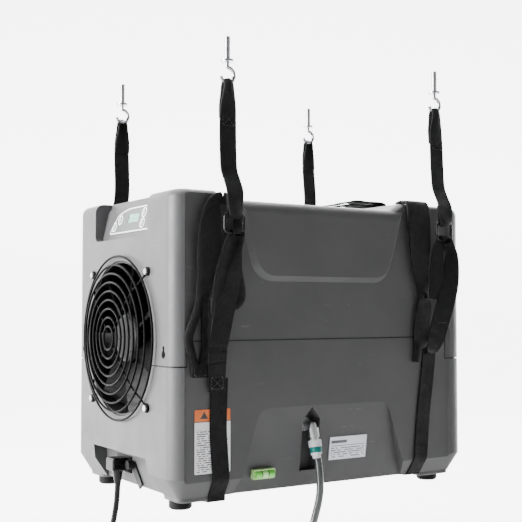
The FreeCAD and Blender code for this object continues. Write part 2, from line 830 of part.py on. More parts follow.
def on_console(feature, x=0.0, y=0.0, z=0.0):
    """Moves a feature drawn flat (x across, y up, z out) onto the console's sloping face."""
    tilt = math.radians(float(console_tilt))
    right = Vector(0, -1, 0)
    up = Vector(math.sin(tilt), 0, math.cos(tilt))
    out = Vector(-math.cos(tilt), 0, math.sin(tilt))
    corner = Vector(float(-half_length + console_depth - 3), float(console_low_y + console_high_y) / 2,
                    float(console_floor))
    feature.Placement = Placement(corner + right * float(x) + up * float(y) + out * float(z),
                                  Rotation(right, up, out, "XYZ"))
    return feature


BUTTONS = {"power_button": (-54, 21), "mode_button": (-37, 31), "up_button": (42, 37), "down_button": (42, 21)}
LCD_CENTRE = (8.5, 31)


def console_plate(name, points, thickness, corner, holes, window):
    """A flat plate on the console with holes for the buttons and the display."""
    owner = body(name)
    plan = outline(sketch_on(owner, "XY_Plane"), points)
    pad(owner, plan, thickness)
    round_edges(owner, corner, lambda middle, direction: is_along(direction, Z_AXIS))
    opening = sketch_on(owner, "XY_Plane")
    for x, y in BUTTONS.values():
        circle(opening, holes, x, y)
    pocket(owner, opening, thickness + 1, reverse=True)
    slot = sketch_on(owner, "XY_Plane", x=LCD_CENTRE[0], y=LCD_CENTRE[1])
    rectangle(slot, *window)
    pocket(owner, slot, thickness + 1, reverse=True)
    return owner


def build_console():
    half = (console_high_y - console_low_y) / 2 - 0.6
    bezel = console_plate("Bezel", [(-half, 1.0), (half, 1.0), (half, 50.0), (-half, 50.0)], 3.0, 6.0,
                          button_radius + 0.25, (38.0, 15.0))
    node("control_bezel", on_console(bezel, z=0.1))
    overlay = console_plate("Overlay", [(-71.0, 9.0), (86.0, 9.0), (86.0, 48.5), (-17.0, 48.5), (-48.0, 40.0)],
                            0.5, 5.0, button_radius + 0.25, (36.0, 13.0))
    node("control_overlay", on_console(overlay, z=3.1))
    window = body("Window")
    rectangle(sketch_on(window, "XY_Plane"), 37.6, 14.6)
    pad(window, window.Group[-1], 2.8)
    node("lcd_window", on_console(window, *LCD_CENTRE, 0.2))
    board = body("Board")
    rectangle(sketch_on(board, "XY_Plane"), 150.0, 30.0)
    pad(board, board.Group[-1], 1.6)
    chip = body("Chip")
    rectangle(sketch_on(chip, "XY_Plane", x=-30.0), 24.0, 14.0)
    pad(chip, chip.Group[-1], 4.0, reverse=True)
    node("control_board", on_console(board, 0, 19, -11), on_console(chip, 0, 19, -11))
    for name, (x, y) in BUTTONS.items():
        key = body("Key")
        circle(sketch_on(key, "XY_Plane"), button_radius)
        pad(key, key.Group[-1], 3.4)
        round_edges(key, 0.8, lambda middle, direction: middle.z > 3.3)
        node(name, on_console(key, x, y, 1.2))


build_console()


# ---------------------------------------------------------------------------- power inlet

def build_power_inlet():
    back = -half_length + inlet_depth
    flange = block(back - 2.2, connector_y - 24, connector_z - 12, back - 0.1, connector_y + 24, connector_z + 12)
    barrel = block(back - 0.1, connector_y - 14.5, connector_z - 10.5, back + 20, connector_y + 14.5,
                   connector_z + 10.5)
    pins = [block(back - 2.2, connector_y + y - 1, connector_z + z - 2.5, back + 4,
                  connector_y + y + 1, connector_z + z + 2.5) for y, z in ((-7, -2), (7, -2), (0, 3))]
    node("power_inlet", fuse(flange, barrel, *pins))


def build_cord_connector():
    """The cord's angled appliance connector: its lead leaves downwards."""
    back = -half_length + inlet_depth - 2.4
    owner = body("Connector")
    rectangle(sketch_on(owner, "YZ_Plane", x=connector_y, y=connector_z), 27.0, 19.0)
    pad(owner, owner.Group[-1], 23.0, reverse=True)
    round_edges(owner, 3, lambda middle, direction: is_along(direction, X_AXIS) or middle.x < -22)
    place(owner, back, 0.0, 0.0)
    sleeve = doc.addObject("Part::Cone", "Sleeve")
    bind(sleeve, "Radius2", 8.0)
    bind(sleeve, "Radius1", cord_diameter / 2 + 0.6)
    sleeve.Height = 22
    place(sleeve, connector_x, connector_y, connector_z - 29)
    node("cord_connector", fuse(owner, sleeve))


def build_cord_retainer():
    """A strap under a thumb screw, beside the connector, that keeps the lead from pulling out."""
    back = float(-half_length + inlet_depth) - 0.2
    top = Vector(back - 1.5, -7, 46)
    foot = Vector(back - 1.5, -34, 18)
    strap = Part.makeBox(3, 11, (foot - top).Length, Vector(-1.5, -5.5, 0))
    strap.Placement = Placement(top, Rotation(Z_AXIS, foot - top))
    thumb = Part.makeCylinder(6.5, 9, Vector(back - 12, -7, 46), X_AXIS)
    node("cord_retainer", solid(strap.fuse(thumb), "Retainer"))


# The mains lead drops from the connector and turns into its coil, a little below the case.
CORD_ROUTE = [(-250.0, 25.0, 15.0), (-250.4, 25.3, -4.0), (-253.0, 26.3, -26.0), (-256.5, 28.0, -46.0),
              (-258.5, 30.5, -66.0), (-254.4, 33.0, -82.5), (-245.1, 35.5, -96.8), (-231.7, 37.5, -107.3),
              (-215.6, 39.0, -112.8), (-198.6, 39.4, -112.8)]
# The drain hose leaves its coupling outwards and bows before it drops.
HOSE_ROUTE = [(-29.0, -171.5, 58.0), (-29.3, -178.0, 32.0), (-33.0, -181.0, 5.0), (-41.0, -180.0, -22.0),
              (-48.0, -178.0, -46.0), (-51.0, -175.5, -69.0), (-46.6, -173.0, -89.5), (-35.6, -170.8, -107.4),
              (-19.3, -169.0, -120.6), (0.5, -167.5, -127.6), (21.5, -166.5, -127.6)]
COIL_ROWS = 1.5
COIL_PITCH = 1.05


def coil_solid(route, diameter, coil_diameter, bundle):
    """The outer shape of a hanging coil: the route ends in its outer row of turns, at the top."""
    row = Vector(0, COIL_PITCH * diameter, COIL_PITCH * diameter * COIL_ROWS)
    centre = Vector(*route[-1]) - row - Z_AXIS * (float(coil_diameter) / 2)
    return Part.makeTorus(float(coil_diameter) / 2, float(bundle) / 2, centre, Y_AXIS), centre


def build_cord(name, route, diameter, coil_diameter, bundle):
    """A lead's hanging stretch, its coil and the strap that ties the coil at its top."""
    coil, centre = coil_solid(route, float(diameter), coil_diameter, bundle)
    lead = tube(route, float(diameter), name)
    node(name, solid(lead.cut(coil), "Lead"))
    top = centre + Z_AXIS * (float(coil_diameter) / 2)
    tie_hole = Part.makeCylinder(float(bundle) / 2 - 0.4, 14, top - X_AXIS * 7 + X_AXIS * 22, X_AXIS)
    tie = Part.makeCylinder(float(bundle) / 2 + 2.2, 14, top - X_AXIS * 7 + X_AXIS * 22, X_AXIS)
    tie_turn = math.degrees(math.atan(22 / (float(coil_diameter) / 2)))
    band = tie.cut(tie_hole)
    band.translate(X_AXIS * -22)
    band.rotate(centre, Y_AXIS, tie_turn)
    node(name + "_coil", solid(coil.cut(band), "Coil"))
    node(name + "_tie", solid(band, "Tie"))
    return centre


def beside_coil(centre, coil_diameter, bundle, reach):
    """A point beside a coil, where its last turn runs straight down, for a piece of that half depth."""
    press = 0.5
    return centre + Vector(float(coil_diameter) / 2, float(bundle) / 2 + reach - press, 0)


def build_mains_cord():
    centre = build_cord("mains_cord", CORD_ROUTE, cord_diameter, cord_coil_diameter, cord_coil_bundle)
    spot = beside_coil(centre, cord_coil_diameter, cord_coil_bundle, 11.0)
    owner = body("Plug")
    rectangle(sketch_on(owner, "XY_Plane"), 28.0, 22.0)
    pad(owner, owner.Group[-1], 24.0, reverse=True)
    round_edges(owner, 4, lambda middle, direction: is_along(direction, Z_AXIS) or middle.z < -23)
    place(owner, spot.x, spot.y, spot.z + 10)
    collar = doc.addObject("Part::Cone", "Collar")
    collar.Radius1 = 8.5
    bind(collar, "Radius2", cord_diameter / 2 + 0.6)
    collar.Height = 22
    place(collar, spot.x, spot.y, spot.z + 9)
    blades = [block(spot.x + x - 0.8, spot.y - 3.2, spot.z - 32, spot.x + x + 0.8, spot.y + 3.2, spot.z - 13)
              for x in (-6.3, 6.3)]
    ground = cylinder(2.4, 22.0, spot.x, spot.y + 7, spot.z - 35)
    node("mains_plug", fuse(owner, collar, *blades, ground))


def build_hose():
    centre = build_cord("drain_hose", HOSE_ROUTE, hose_diameter, hose_coil_diameter, hose_coil_bundle)
    spot = beside_coil(centre, hose_coil_diameter, hose_coil_bundle, 7.5)
    sleeve = cylinder(7.5, 22.0, spot.x, spot.y, spot.z - 6)
    nozzle = doc.addObject("Part::Cone", "Nozzle")
    nozzle.Radius1 = 4
    nozzle.Radius2 = 6
    nozzle.Height = 18
    place(nozzle, spot.x, spot.y, spot.z - 24)
    bore = cylinder(2.5, 42.0, spot.x, spot.y, spot.z - 25)
    node("hose_end", cut(fuse(sleeve, nozzle), bore))


build_power_inlet()
build_cord_connector()
build_cord_retainer()
build_mains_cord()
build_hose()


# ---------------------------------------------------------------------------- drain coupling

def along_coupling(distance):
    """A point on the coupling's axis, down from its elbow."""
    tilt = math.radians(float(coupling_tilt))
    elbow = Vector(-29.0, float(coupling_y), 104.0)
    return elbow + Vector(0, -math.sin(tilt), -math.cos(tilt)) * distance


def coupling_ring(outer, inner, start, end):
    axis = along_coupling(end) - along_coupling(start)
    ring = Part.makeCylinder(outer, end - start, along_coupling(start), axis)
    if inner:
        ring = ring.cut(Part.makeCylinder(inner, end - start + 2, along_coupling(start - 1), axis))
    return ring


def build_drain_coupling():
    """A push-in coupling: a bulkhead elbow, a sliding release collar and the hose's insert."""
    elbow = straight_runs([(-29.0, float(-half_width + notch_depth) + 14, 104.0), along_coupling(0),
                           along_coupling(8)], 5.5)
    flange = Part.makeCylinder(10, 3, Vector(-29.0, float(-half_width + notch_depth) - 3, 104), Y_AXIS)
    body_shape = elbow.multiFuse([flange, coupling_ring(8.0, 0, 4, 17), coupling_ring(6.3, 0, 17, 27)])
    node("drain_coupling", solid(body_shape, "Coupling"))
    node("release_collar", solid(coupling_ring(9.6, 6.4, 21.5, 31), "Collar"))
    insert = coupling_ring(6.3, 0, 27.2, 47.2)
    node("hose_connector", solid(insert.fuse(coupling_ring(8.2, 0, 39, 42)), "Insert"))
    node("hose_ring", solid(coupling_ring(8.6, 6.3, 31.8, 38.8), "Ring"))


build_drain_coupling()


# ---------------------------------------------------------------------------- level and labels

def on_scoop(x, z, out=0.0):
    """A placement on the front scoop's sloping face, or on the wall above it."""
    slope = math.atan(float(scoop_depth - 0.3) / float(scoop_top + 2))
    depth = max(0.0, (float(scoop_top) + 2 - z) * math.tan(slope))
    right = X_AXIS
    up = Vector(0, -math.sin(slope), math.cos(slope))
    normal = Vector(0, -math.cos(slope), -math.sin(slope))
    spot = Vector(x, -float(wall_y) + 0.3 + depth - 0.3, z) + normal * out
    return Placement(spot, Rotation(right, up, normal, "XYZ"))


def flat_plate(name, width, height, thickness, corner):
    owner = body(name)
    rectangle(sketch_on(owner, "XY_Plane"), width, height)
    pad(owner, owner.Group[-1], thickness)
    round_edges(owner, corner, lambda middle, direction: is_along(direction, Z_AXIS))
    return owner


def build_level_and_labels():
    plate = flat_plate("LevelBlock", 36.0, 14.0, 7.0, 2.0)
    plate.Placement = on_scoop(-112.0, 43.0, 0.2)
    vial = doc.addObject("Part::Cylinder", "Vial")
    vial.Radius = 4.6
    vial.Height = 30
    middle = on_scoop(-112.0, 43.0, 7.2)
    vial.Placement = Placement(middle.Base - X_AXIS * 15, Rotation(Y_AXIS, 90))
    seat = doc.addObject("Part::Cylinder", "Seat")
    seat.Radius = 4.75
    seat.Height = 30.4
    seat.Placement = Placement(middle.Base - X_AXIS * 15.2, Rotation(Y_AXIS, 90))
    node("level_block", cut(plate, seat))
    node("level_vial", vial)
    rating = flat_plate("RatingLabel", 70.0, 35.0, 0.6, 3.0)
    rating.Placement = on_scoop(36.0, 68.0, 0.1)
    node("rating_label", rating)
    warning = flat_plate("WarningLabel", 57.0, 88.0, 0.3, 6.0)
    warning.Placement = Placement(Vector(-198.0, -float(wall_y) - 0.05, 94.0),
                                  Rotation(X_AXIS, Z_AXIS, Vector(0, -1, 0), "XYZ"))
    node("warning_label", warning)


build_level_and_labels()


# ---------------------------------------------------------------------------- air path and refrigeration

def build_intake_grille():
    """The louvred panel over the air intake, on the end away from the fan."""
    owner = body("Grille")
    width = intake_width + 28
    height = intake_top - intake_floor + 40
    middle = (intake_top + intake_floor) / 2
    rectangle(sketch_on(owner, "YZ_Plane", y=middle), width, height)
    pad(owner, owner.Group[-1], 3.0)
    round_edges(owner, 10, lambda middle, direction: is_along(direction, X_AXIS))
    slot = sketch_on(owner, "YZ_Plane", y=intake_floor + 8)
    rectangle(slot, intake_width - 12, 7.0)
    first = pocket(owner, slot, 4.0, reverse=True)
    rows = owner.newObject("PartDesign::LinearPattern", "Rows")
    rows.Originals = [first]
    rows.Direction = (slot, ["V_Axis"])
    rows.Length = 224
    rows.Occurrences = 17
    owner.Tip = rows
    bar = block(half_length + 0.5, -3.0, intake_floor, half_length + 2.5, 3.0, intake_top)
    place(owner, half_length, 0.0, 0.0)
    holes = [along_x(2.1, 6.0, half_length - 1, y * (intake_width / 2 + 8), z)
             for y in (-1, 1) for z in (intake_floor - 12, intake_top + 12)]
    node("intake_grille", cut(fuse(owner, bar), *holes))


def build_filter():
    """The washable filter: a framed mat that slides out sideways through its slot."""
    low_y = -intake_width / 2 - 6
    high_y = half_width + 1
    thick = slot_thickness - 4
    frame = block(slot_x - thick / 2, low_y, slot_floor + 2, slot_x + thick / 2, high_y, slot_top - 2)
    hollow = block(slot_x - thick / 2 - 1, low_y + 10, slot_floor + 12, slot_x + thick / 2 + 1,
                   high_y - 44, slot_top - 12)
    lip = block(slot_x - 6, half_width + 1, slot_floor - 6, slot_x + 12, half_width + 5, slot_top + 6)
    pull = block(slot_x - 5, half_width + 4, fan_z - 30, slot_x + 5, half_width + 9, fan_z + 30)
    node("filter_frame", fuse(cut(frame, hollow), lip, pull))
    mat = block(slot_x - 4, low_y + 10.1, slot_floor + 12.1, slot_x + 4, high_y - 44.1, slot_top - 12.1)
    node("filter_mat", mat)


def finned_coil(x, tube_rows):
    """A fin-and-tube heat exchanger: a finned block, end plates and the return bends at its sides."""
    thick = 40
    low_z = 142
    high_z = 352
    fins = block(x - thick / 2, -104.0, low_z, x + thick / 2, 104.0, high_z)
    plates = [block(x - thick / 2 - 2, y, low_z - 3, x + thick / 2 + 2, y + 2, high_z + 3) for y in (-106.0, 104.0)]
    bends = []
    for row in range(tube_rows):
        z = low_z + 18 + row * (high_z - low_z - 36) / (tube_rows - 1)
        for y in (-105.0, 105.0):
            bend = Part.makeTorus(9, 3.5, Vector(x, y, z), X_AXIS)
            side = -1 if y < 0 else 1
            keep = Part.makeBox(20, 16, 40, Vector(x - 10, y if side > 0 else y - 16, z - 20))
            bends.append(solid(bend.common(keep), "Bend"))
    return fuse(fins, *plates, *bends)


def build_refrigeration():
    node("evaporator_coil", finned_coil(190, 8))
    node("condenser_coil", finned_coil(135, 8))
    tray = cut(block(106.0, -112.0, 118.0, 219.0, 112.0, 138.0), block(109.0, -109.0, 121.0, 216.0, 109.0, 140.0))
    node("drain_pan", cut(tray, cylinder(5.0, 6.0, 118.0, -96.0, 116.0)))
    dome = Part.makeCylinder(62, 150, Vector(30, 60, 32), Z_AXIS)
    rims = [edge for edge in dome.Edges if edge.Length > 300]
    shell = dome.makeFillet(24, rims)
    plate = Part.makeBox(140, 90, 3, Vector(-40, 15, 27))
    stubs = [Part.makeCylinder(4.5, 16, Vector(30 + x, 60, 174), Z_AXIS) for x in (-22, 22)]
    node("compressor", solid(shell.multiFuse([plate] + stubs + [Part.makeCylinder(40, 8, Vector(30, 60, 28), Z_AXIS)]),
                             "Compressor"))
    pads = [cylinder(7.0, 4.8, 30 + x, 60 + y, 22.1) for x in (-60, 60) for y in (-36, 36)]
    node("compressor_mounts", *pads)
    tank = Part.makeCylinder(22, 110, Vector(-62, 70, 60), Z_AXIS)
    node("accumulator", solid(tank.makeFillet(12, [edge for edge in tank.Edges if edge.Length > 100])
                              .fuse(Part.makeBox(16, 8, 40, Vector(-70, 88, 23)))
                              .fuse(Part.makeBox(16, 24, 3, Vector(-70, 72, 60))), "Accumulator"))
    suction = straight_runs([(8, 60, 191), (8, 60, 204), (-62, 70, 204), (-62, 70, 171)], 4)
    discharge = straight_runs([(52, 60, 191), (52, 60, 214), (52, 112, 214), (110, 112, 214), (110, 112, 300),
                               (122, 112, 300), (122, 107, 300)], 4)
    liquid = straight_runs([(150, 107, 160), (150, 118, 160), (172, 118, 160), (172, 107, 160)], 3)
    node("refrigerant_lines", solid(suction, "Suction"), solid(discharge, "Discharge"), solid(liquid, "Liquid"))


def build_pump():
    """The condensate pump: an open tank, its pump, the float that starts it and its outlet pipe."""
    tank = cut(block(-150.0, -138.0, 22.1, -60.0, -30.0, 96.0), block(-147.0, -135.0, 25.0, -63.0, -33.0, 97.0))
    node("pump_tank", tank)
    motor = Part.makeCylinder(24, 56, Vector(-96, -100, 82), Z_AXIS)
    deck = Part.makeBox(90, 58, 3, Vector(-150, -138, 96.2))
    foot = Part.makeCylinder(16, 60, Vector(-96, -100, 30), Z_AXIS)
    bore = Part.makeCylinder(2.06, 40, Vector(-150, -84, 89.5), X_AXIS)
    cheeks = [Part.makeBox(3, 9, 12, Vector(x, -89, 86)).cut(bore) for x in (-137, -124)]
    node("condensate_pump", solid(motor.multiFuse([deck, foot] + cheeks), "Pump"))
    outlet = straight_runs([(-71.5, -100, 110), (-44, -100, 110), (-29, -100, 104), (-29, -122, 104)], 5)
    node("pump_pipe", solid(outlet, "PumpPipe"))
    lever = Part.makeBox(5, 34, 3, Vector(-131.5, -84, 88))
    ball = Part.makeCylinder(13, 20, Vector(-129, -58, 62), Z_AXIS)
    stem = Part.makeCylinder(2, 8, Vector(-129, -58, 81), Z_AXIS)
    pin = Part.makeCylinder(2, 14, Vector(-136, -84, 89.5), X_AXIS)
    node("pump_float", solid(ball.multiFuse([lever, stem, pin]), "Float"))


build_intake_grille()
build_filter()
build_refrigeration()
build_pump()


# ---------------------------------------------------------------------------- webbing and ceiling hooks

def webbing(points, width, x, slope=0.0):
    """A strip of even thickness along a path in the YZ plane, which leans sideways as it rises."""
    thickness = float(webbing_thickness)
    path = [Vector(0, float(y), float(z)) for y, z in points]
    normals = []
    for start, end in zip(path, path[1:]):
        run = (end - start).normalize()
        normals.append(Vector(0, run.z, -run.y))
    offset = []
    for index, point in enumerate(path):
        near = normals[max(index - 1, 0)]
        far = normals[min(index, len(normals) - 1)]
        mitre = (near + far).normalize()
        offset.append(point + mitre * (thickness / mitre.dot(far)))
    ring = [Vector(x - float(width) / 2 + point.z * slope, point.y, point.z) for point in path + offset[::-1]]
    return Part.Face(Part.makePolygon(ring + ring[:1])).extrude(X_AXIS * float(width))


class Side:
    """Where the webbing of one end of the case runs, as x positions and heights."""

    def __init__(self, floor_x, lean, sling_floor, tab, tab_lean, tab_width, ring, strap_x, hook_x):
        self.floor_x = floor_x
        self.lean = lean
        self.sling_floor = sling_floor
        self.tab_x, self.tab_z = tab
        self.tab_lean = tab_lean
        self.tab_width = tab_width
        self.ring_x, self.ring_z = ring
        self.strap_x = strap_x
        self.hook_x = hook_x


SIDES = (
    Side(-192.2, 0.02, leg_floor - 0.4, (-192.0, 176.0), 0.07, 26.0, (-179.0, 386.0), -178.0, -180.0),
    Side(160.0, 0.14, case_floor - 0.6, (185.0, 203.0), 0.14, 28.0, (199.0, 391.0), 201.0, 197.0),
)


def sling_path(side):
    """Round the case from the front face, under it, to the rear face, seen along X."""
    face = wall_y + 0.4
    foot = half_width - bevel_inset
    front = [(-face, side.tab_z), (-face, bevel_top - 5.6), (-foot - 1.2, case_floor + 1),
             (-foot - 1.4, side.sling_floor + 0.4), (-foot + 2.5, side.sling_floor)]
    return front + [(-y, z) for y, z in front[::-1]]


def tab_path(side):
    """From the sling's sewn end up to the ring, clear of the carry handle."""
    face = wall_y + 2 * webbing_thickness + 0.9
    out = wall_y + webbing_thickness + handle_thickness + 6
    return [(-face, side.tab_z - 20), (-face, side.tab_z - 2), (-out, side.tab_z + 26), (-out - 1.5, side.ring_z - 16)]


def strap_path(side):
    """From the ring over the handle and the case's edge, and straight up to its hook."""
    out = wall_y + webbing_thickness + handle_thickness + 7.5
    hang = hook_spacing_y / 2
    return [(-out, side.ring_z + 16), (-out + 2, case_top + 14), (-hang - 1, 462.0), (-hang, 480.0),
            (-hang, hang_level - 36)]


def mirrored(shape):
    return shape.mirror(Vector(), Y_AXIS)


def build_slings():
    strips = [webbing(sling_path(side), webbing_width, side.floor_x - side.lean * float(leg_floor), side.lean)
              for side in SIDES]
    node("slings", *[solid(strip, "Sling") for strip in strips])


def rounded_ring(centre, width, height, wire):
    """A welded rectangular ring in the XZ plane."""
    half_w = width / 2 - wire
    half_h = height / 2 - wire
    corners = [(-half_w, -half_h), (half_w, -half_h), (half_w, half_h), (-half_w, half_h)]
    return straight_runs([centre + Vector(x, 0, z) for x, z in corners + corners[:2]], wire)


def build_straps():
    tabs = []
    rings = []
    straps = []
    ring_y = -float(wall_y + webbing_thickness + handle_thickness) - 9.5
    for side in SIDES:
        tab = webbing(tab_path(side), side.tab_width, side.tab_x - side.tab_z * side.tab_lean, side.tab_lean)
        ring = rounded_ring(Vector(side.ring_x, ring_y, side.ring_z), 34, 30, 2.3)
        slope = (side.hook_x - side.strap_x) / (float(hang_level) - side.ring_z)
        strap = webbing(strap_path(side), webbing_width, side.strap_x - side.ring_z * slope, slope)
        tabs += [tab, mirrored(tab)]
        rings += [ring, mirrored(ring)]
        straps += [strap, mirrored(strap)]
    node("sling_tabs", *[solid(shape, "Tab") for shape in tabs])
    node("strap_rings", *[solid(shape, "Ring") for shape in rings])
    node("hanging_straps", *[solid(shape, "Strap") for shape in straps])


def build_spare_webbing():
    """The slings' spare length, folded to and fro and laid on the case's top."""
    owner = body("SpareWebbing")
    profile = sketch_on(owner, "XZ_Plane", z=-20.0)
    outline(profile, [(94.0, case_top + 0.8), (112.0, case_top + 0.8), (135.0, shoulder_top + 1.2),
                      (236.0, shoulder_top + 0.8), (234.0, shoulder_top + 7), (206.0, shoulder_top + 14),
                      (162.0, shoulder_top + 26), (124.0, shoulder_top + 19)])
    pad(owner, profile, 40.0)
    node("spare_webbing", owner)


def handle_body(centre_x, foot_x_position):
    """A carry handle of padded webbing: a teardrop loop that hangs from its anchor to the case's top."""
    half = float(handle_width) / 2
    leg = 25.0
    top = float(case_top) + 5
    owner = body("Handle")
    front = sketch_on(owner, "XZ_Plane", z=wall_y + webbing_thickness + 1.2)
    outline(front, [(foot_x_position - 12, 152.0), (foot_x_position + 12, 152.0), (foot_x_position + 13, 232.0),
                    (centre_x + half * 0.66, 284.0), (centre_x + half, 330.0), (centre_x + half, 378.0),
                    (centre_x + half * 0.6, top), (centre_x - half * 0.6, top), (centre_x - half, 378.0),
                    (centre_x - half * 0.9, 318.0), (foot_x_position - 16, 235.0)])
    pad(owner, front, handle_thickness)
    gap = sketch_on(owner, "XZ_Plane", z=wall_y)
    outline(gap, [(foot_x_position + 3, 248.0), (centre_x + half - leg - 4, 285.0), (centre_x + half - leg, 335.0),
                  (centre_x + half - leg, 375.0), (centre_x + 8, top - leg), (centre_x - 8, top - leg),
                  (centre_x - half + leg, 375.0), (centre_x - half + leg, 315.0)])
    pocket(owner, gap, handle_thickness * 3, reverse=True)
    return owner


def build_handles():
    left = (-192.0, -220.0)
    right = (192.0, 153.0)
    node("front_handles", handle_body(*left), handle_body(*right))
    rear = []
    for centre_x, foot_position in (left, right):
        handle = handle_body(-centre_x, -foot_position)
        rear.append(place(handle, 0.0, 0.0, 0.0, Z_AXIS, 180))
    node("rear_handles", *rear)
    plates = []
    for side in (-1, 1):
        for foot_position in (left[1], right[1]):
            low_y = -wall_y - 3.4 if side < 0 else wall_y
            high_y = -wall_y if side < 0 else wall_y + 3.4
            plates.append(block(foot_position - 13.5, low_y, 148.0, foot_position + 13.5 - 2, high_y, 206.0))
    node("handle_anchors", *plates)


def build_ceiling_hooks():
    """Screw-in hooks: a threaded shank above the ceiling, a collar against it and an open hook."""
    hooks = []
    for x in (-1, 1):
        for y in (-1, 1):
            centre_x = float(hook_centre_x) + x * float(hook_spacing_x) / 2
            centre_y = y * float(hook_spacing_y) / 2
            level = float(hang_level)
            bow = [(centre_x, centre_y, level - 2)]
            for step in range(9):
                angle = math.radians(90 - 32 * step)
                bow.append((centre_x + 11 * math.cos(angle), centre_y, level - 21 + 11 * math.sin(angle)))
            shank = Part.makeCylinder(4, 32, Vector(centre_x, centre_y, level), Z_AXIS)
            collar = Part.makeCylinder(9, 3, Vector(centre_x, centre_y, level - 3), Z_AXIS)
            hooks.append(solid(straight_runs(bow, 2.6).multiFuse([shank, collar]), "Hook"))
    node("ceiling_hooks", *hooks)


build_slings()
build_straps()
build_spare_webbing()
build_handles()
build_ceiling_hooks()


# ---------------------------------------------------------------------------- export

def export_nodes():
    doc.recompute()
    for feature in doc.Objects:
        if "Invalid" in feature.State or "Error" in feature.State:
            raise RuntimeError(f"{feature.Name} ({feature.Label}) failed: {feature.State}")
    os.makedirs("parts", exist_ok=True)
    for feature in NODES:
        shape = feature.Shape
        if shape.isNull() or not shape.isValid() or not shape.Solids:
            raise RuntimeError(f"{feature.Label} has no valid solid")
        shape.exportStep(f"parts/{feature.Label}.step")
        box = shape.BoundBox
        print(f"{feature.Label}: {len(shape.Solids)} solids, {shape.Volume / 1000:.1f} cm3, "
              f"x {box.XMin:.0f}..{box.XMax:.0f} y {box.YMin:.0f}..{box.YMax:.0f} z {box.ZMin:.0f}..{box.ZMax:.0f}")
    print(f"{len(NODES)} nodes")


export_nodes()
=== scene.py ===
"""Looks of a portable crawl-space dehumidifier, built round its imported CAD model."""

import json
import math
import random

import bmesh
import bpy
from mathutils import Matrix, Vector


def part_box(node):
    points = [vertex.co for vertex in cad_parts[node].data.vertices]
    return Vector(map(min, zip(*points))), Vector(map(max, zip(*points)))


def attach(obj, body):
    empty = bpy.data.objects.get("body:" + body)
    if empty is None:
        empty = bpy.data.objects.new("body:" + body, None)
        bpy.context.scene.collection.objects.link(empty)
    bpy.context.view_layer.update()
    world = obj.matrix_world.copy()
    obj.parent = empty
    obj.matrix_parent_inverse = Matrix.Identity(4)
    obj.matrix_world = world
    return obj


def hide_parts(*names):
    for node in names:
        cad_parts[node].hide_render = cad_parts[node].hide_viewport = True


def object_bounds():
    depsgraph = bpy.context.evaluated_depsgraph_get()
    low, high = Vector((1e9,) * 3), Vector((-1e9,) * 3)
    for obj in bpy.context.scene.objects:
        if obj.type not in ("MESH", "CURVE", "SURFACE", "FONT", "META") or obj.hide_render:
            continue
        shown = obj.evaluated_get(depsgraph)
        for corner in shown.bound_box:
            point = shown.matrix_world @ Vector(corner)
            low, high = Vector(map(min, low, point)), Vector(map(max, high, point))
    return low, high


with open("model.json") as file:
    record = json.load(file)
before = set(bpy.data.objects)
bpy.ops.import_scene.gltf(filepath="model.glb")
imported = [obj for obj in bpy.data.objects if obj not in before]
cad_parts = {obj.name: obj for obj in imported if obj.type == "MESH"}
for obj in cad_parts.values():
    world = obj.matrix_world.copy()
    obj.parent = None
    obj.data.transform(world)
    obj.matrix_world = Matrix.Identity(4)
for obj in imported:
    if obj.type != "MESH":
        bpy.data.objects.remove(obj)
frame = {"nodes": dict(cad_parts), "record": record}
cad_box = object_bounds()

MM = 0.001
FLOOR_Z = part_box("rubber_feet")[0][2]
CASE_LOW, CASE_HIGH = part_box("lower_housing")
CENTRE_X = (CASE_LOW[0] + CASE_HIGH[0]) / 2


def case(x, y, z):
    """A point given in millimetres from the case's middle and from the ground under its feet."""
    return Vector((CENTRE_X + x * MM, y * MM, FLOOR_Z + z * MM))


# ---------------------------------------------------------------- camera and light

CAMERA_PLACE = (-862.2, -1332.9, 270.5)
CAMERA_TILT = 92.79
CAMERA_TURN = -32.4
LENS_MM = 68.5
SENSOR_MM = 36


def make_camera():
    """The photograph's camera, found from the case's straight edges."""
    camera = bpy.data.objects.new("Camera", bpy.data.cameras.new("Camera"))
    bpy.context.scene.collection.objects.link(camera)
    camera.location = case(*CAMERA_PLACE)
    camera.rotation_euler = (math.radians(CAMERA_TILT), 0, math.radians(CAMERA_TURN))
    camera.data.lens = LENS_MM
    camera.data.sensor_width = SENSOR_MM
    bpy.context.scene.camera = camera


def area_light(name, place, target, size, power):
    """A white rectangular soft box that faces the target; its size is in metres and its power in watts."""
    light = bpy.data.objects.new(name, bpy.data.lights.new(name, "AREA"))
    bpy.context.scene.collection.objects.link(light)
    light.location = place
    light.rotation_euler = (Vector(target) - Vector(place)).to_track_quat("-Z", "Y").to_euler()
    light.data.shape = "RECTANGLE"
    light.data.size, light.data.size_y = size
    light.data.energy = power


def lit_paper():
    """White backdrop paper that glows where it rises beyond the object."""
    nodes = Nodes("BackdropPaper", (0.7, 0.7, 0.7), 0.75)
    nodes.link(nodes.grey_ramp(nodes.noise(9), 0.3, 0.7, 0.7, 0.8), "Roughness")
    beyond = nodes.add("ShaderNodeMapRange", {"Value": nodes.axis("Y"), "From Min": 0.3, "From Max": 1.3,
                                              "To Min": 0.0, "To Max": 5.0})
    nodes.set("Emission Color", (1.0, 1.0, 1.0, 1))
    nodes.link(beyond.outputs["Result"], "Emission Strength")
    return nodes.material


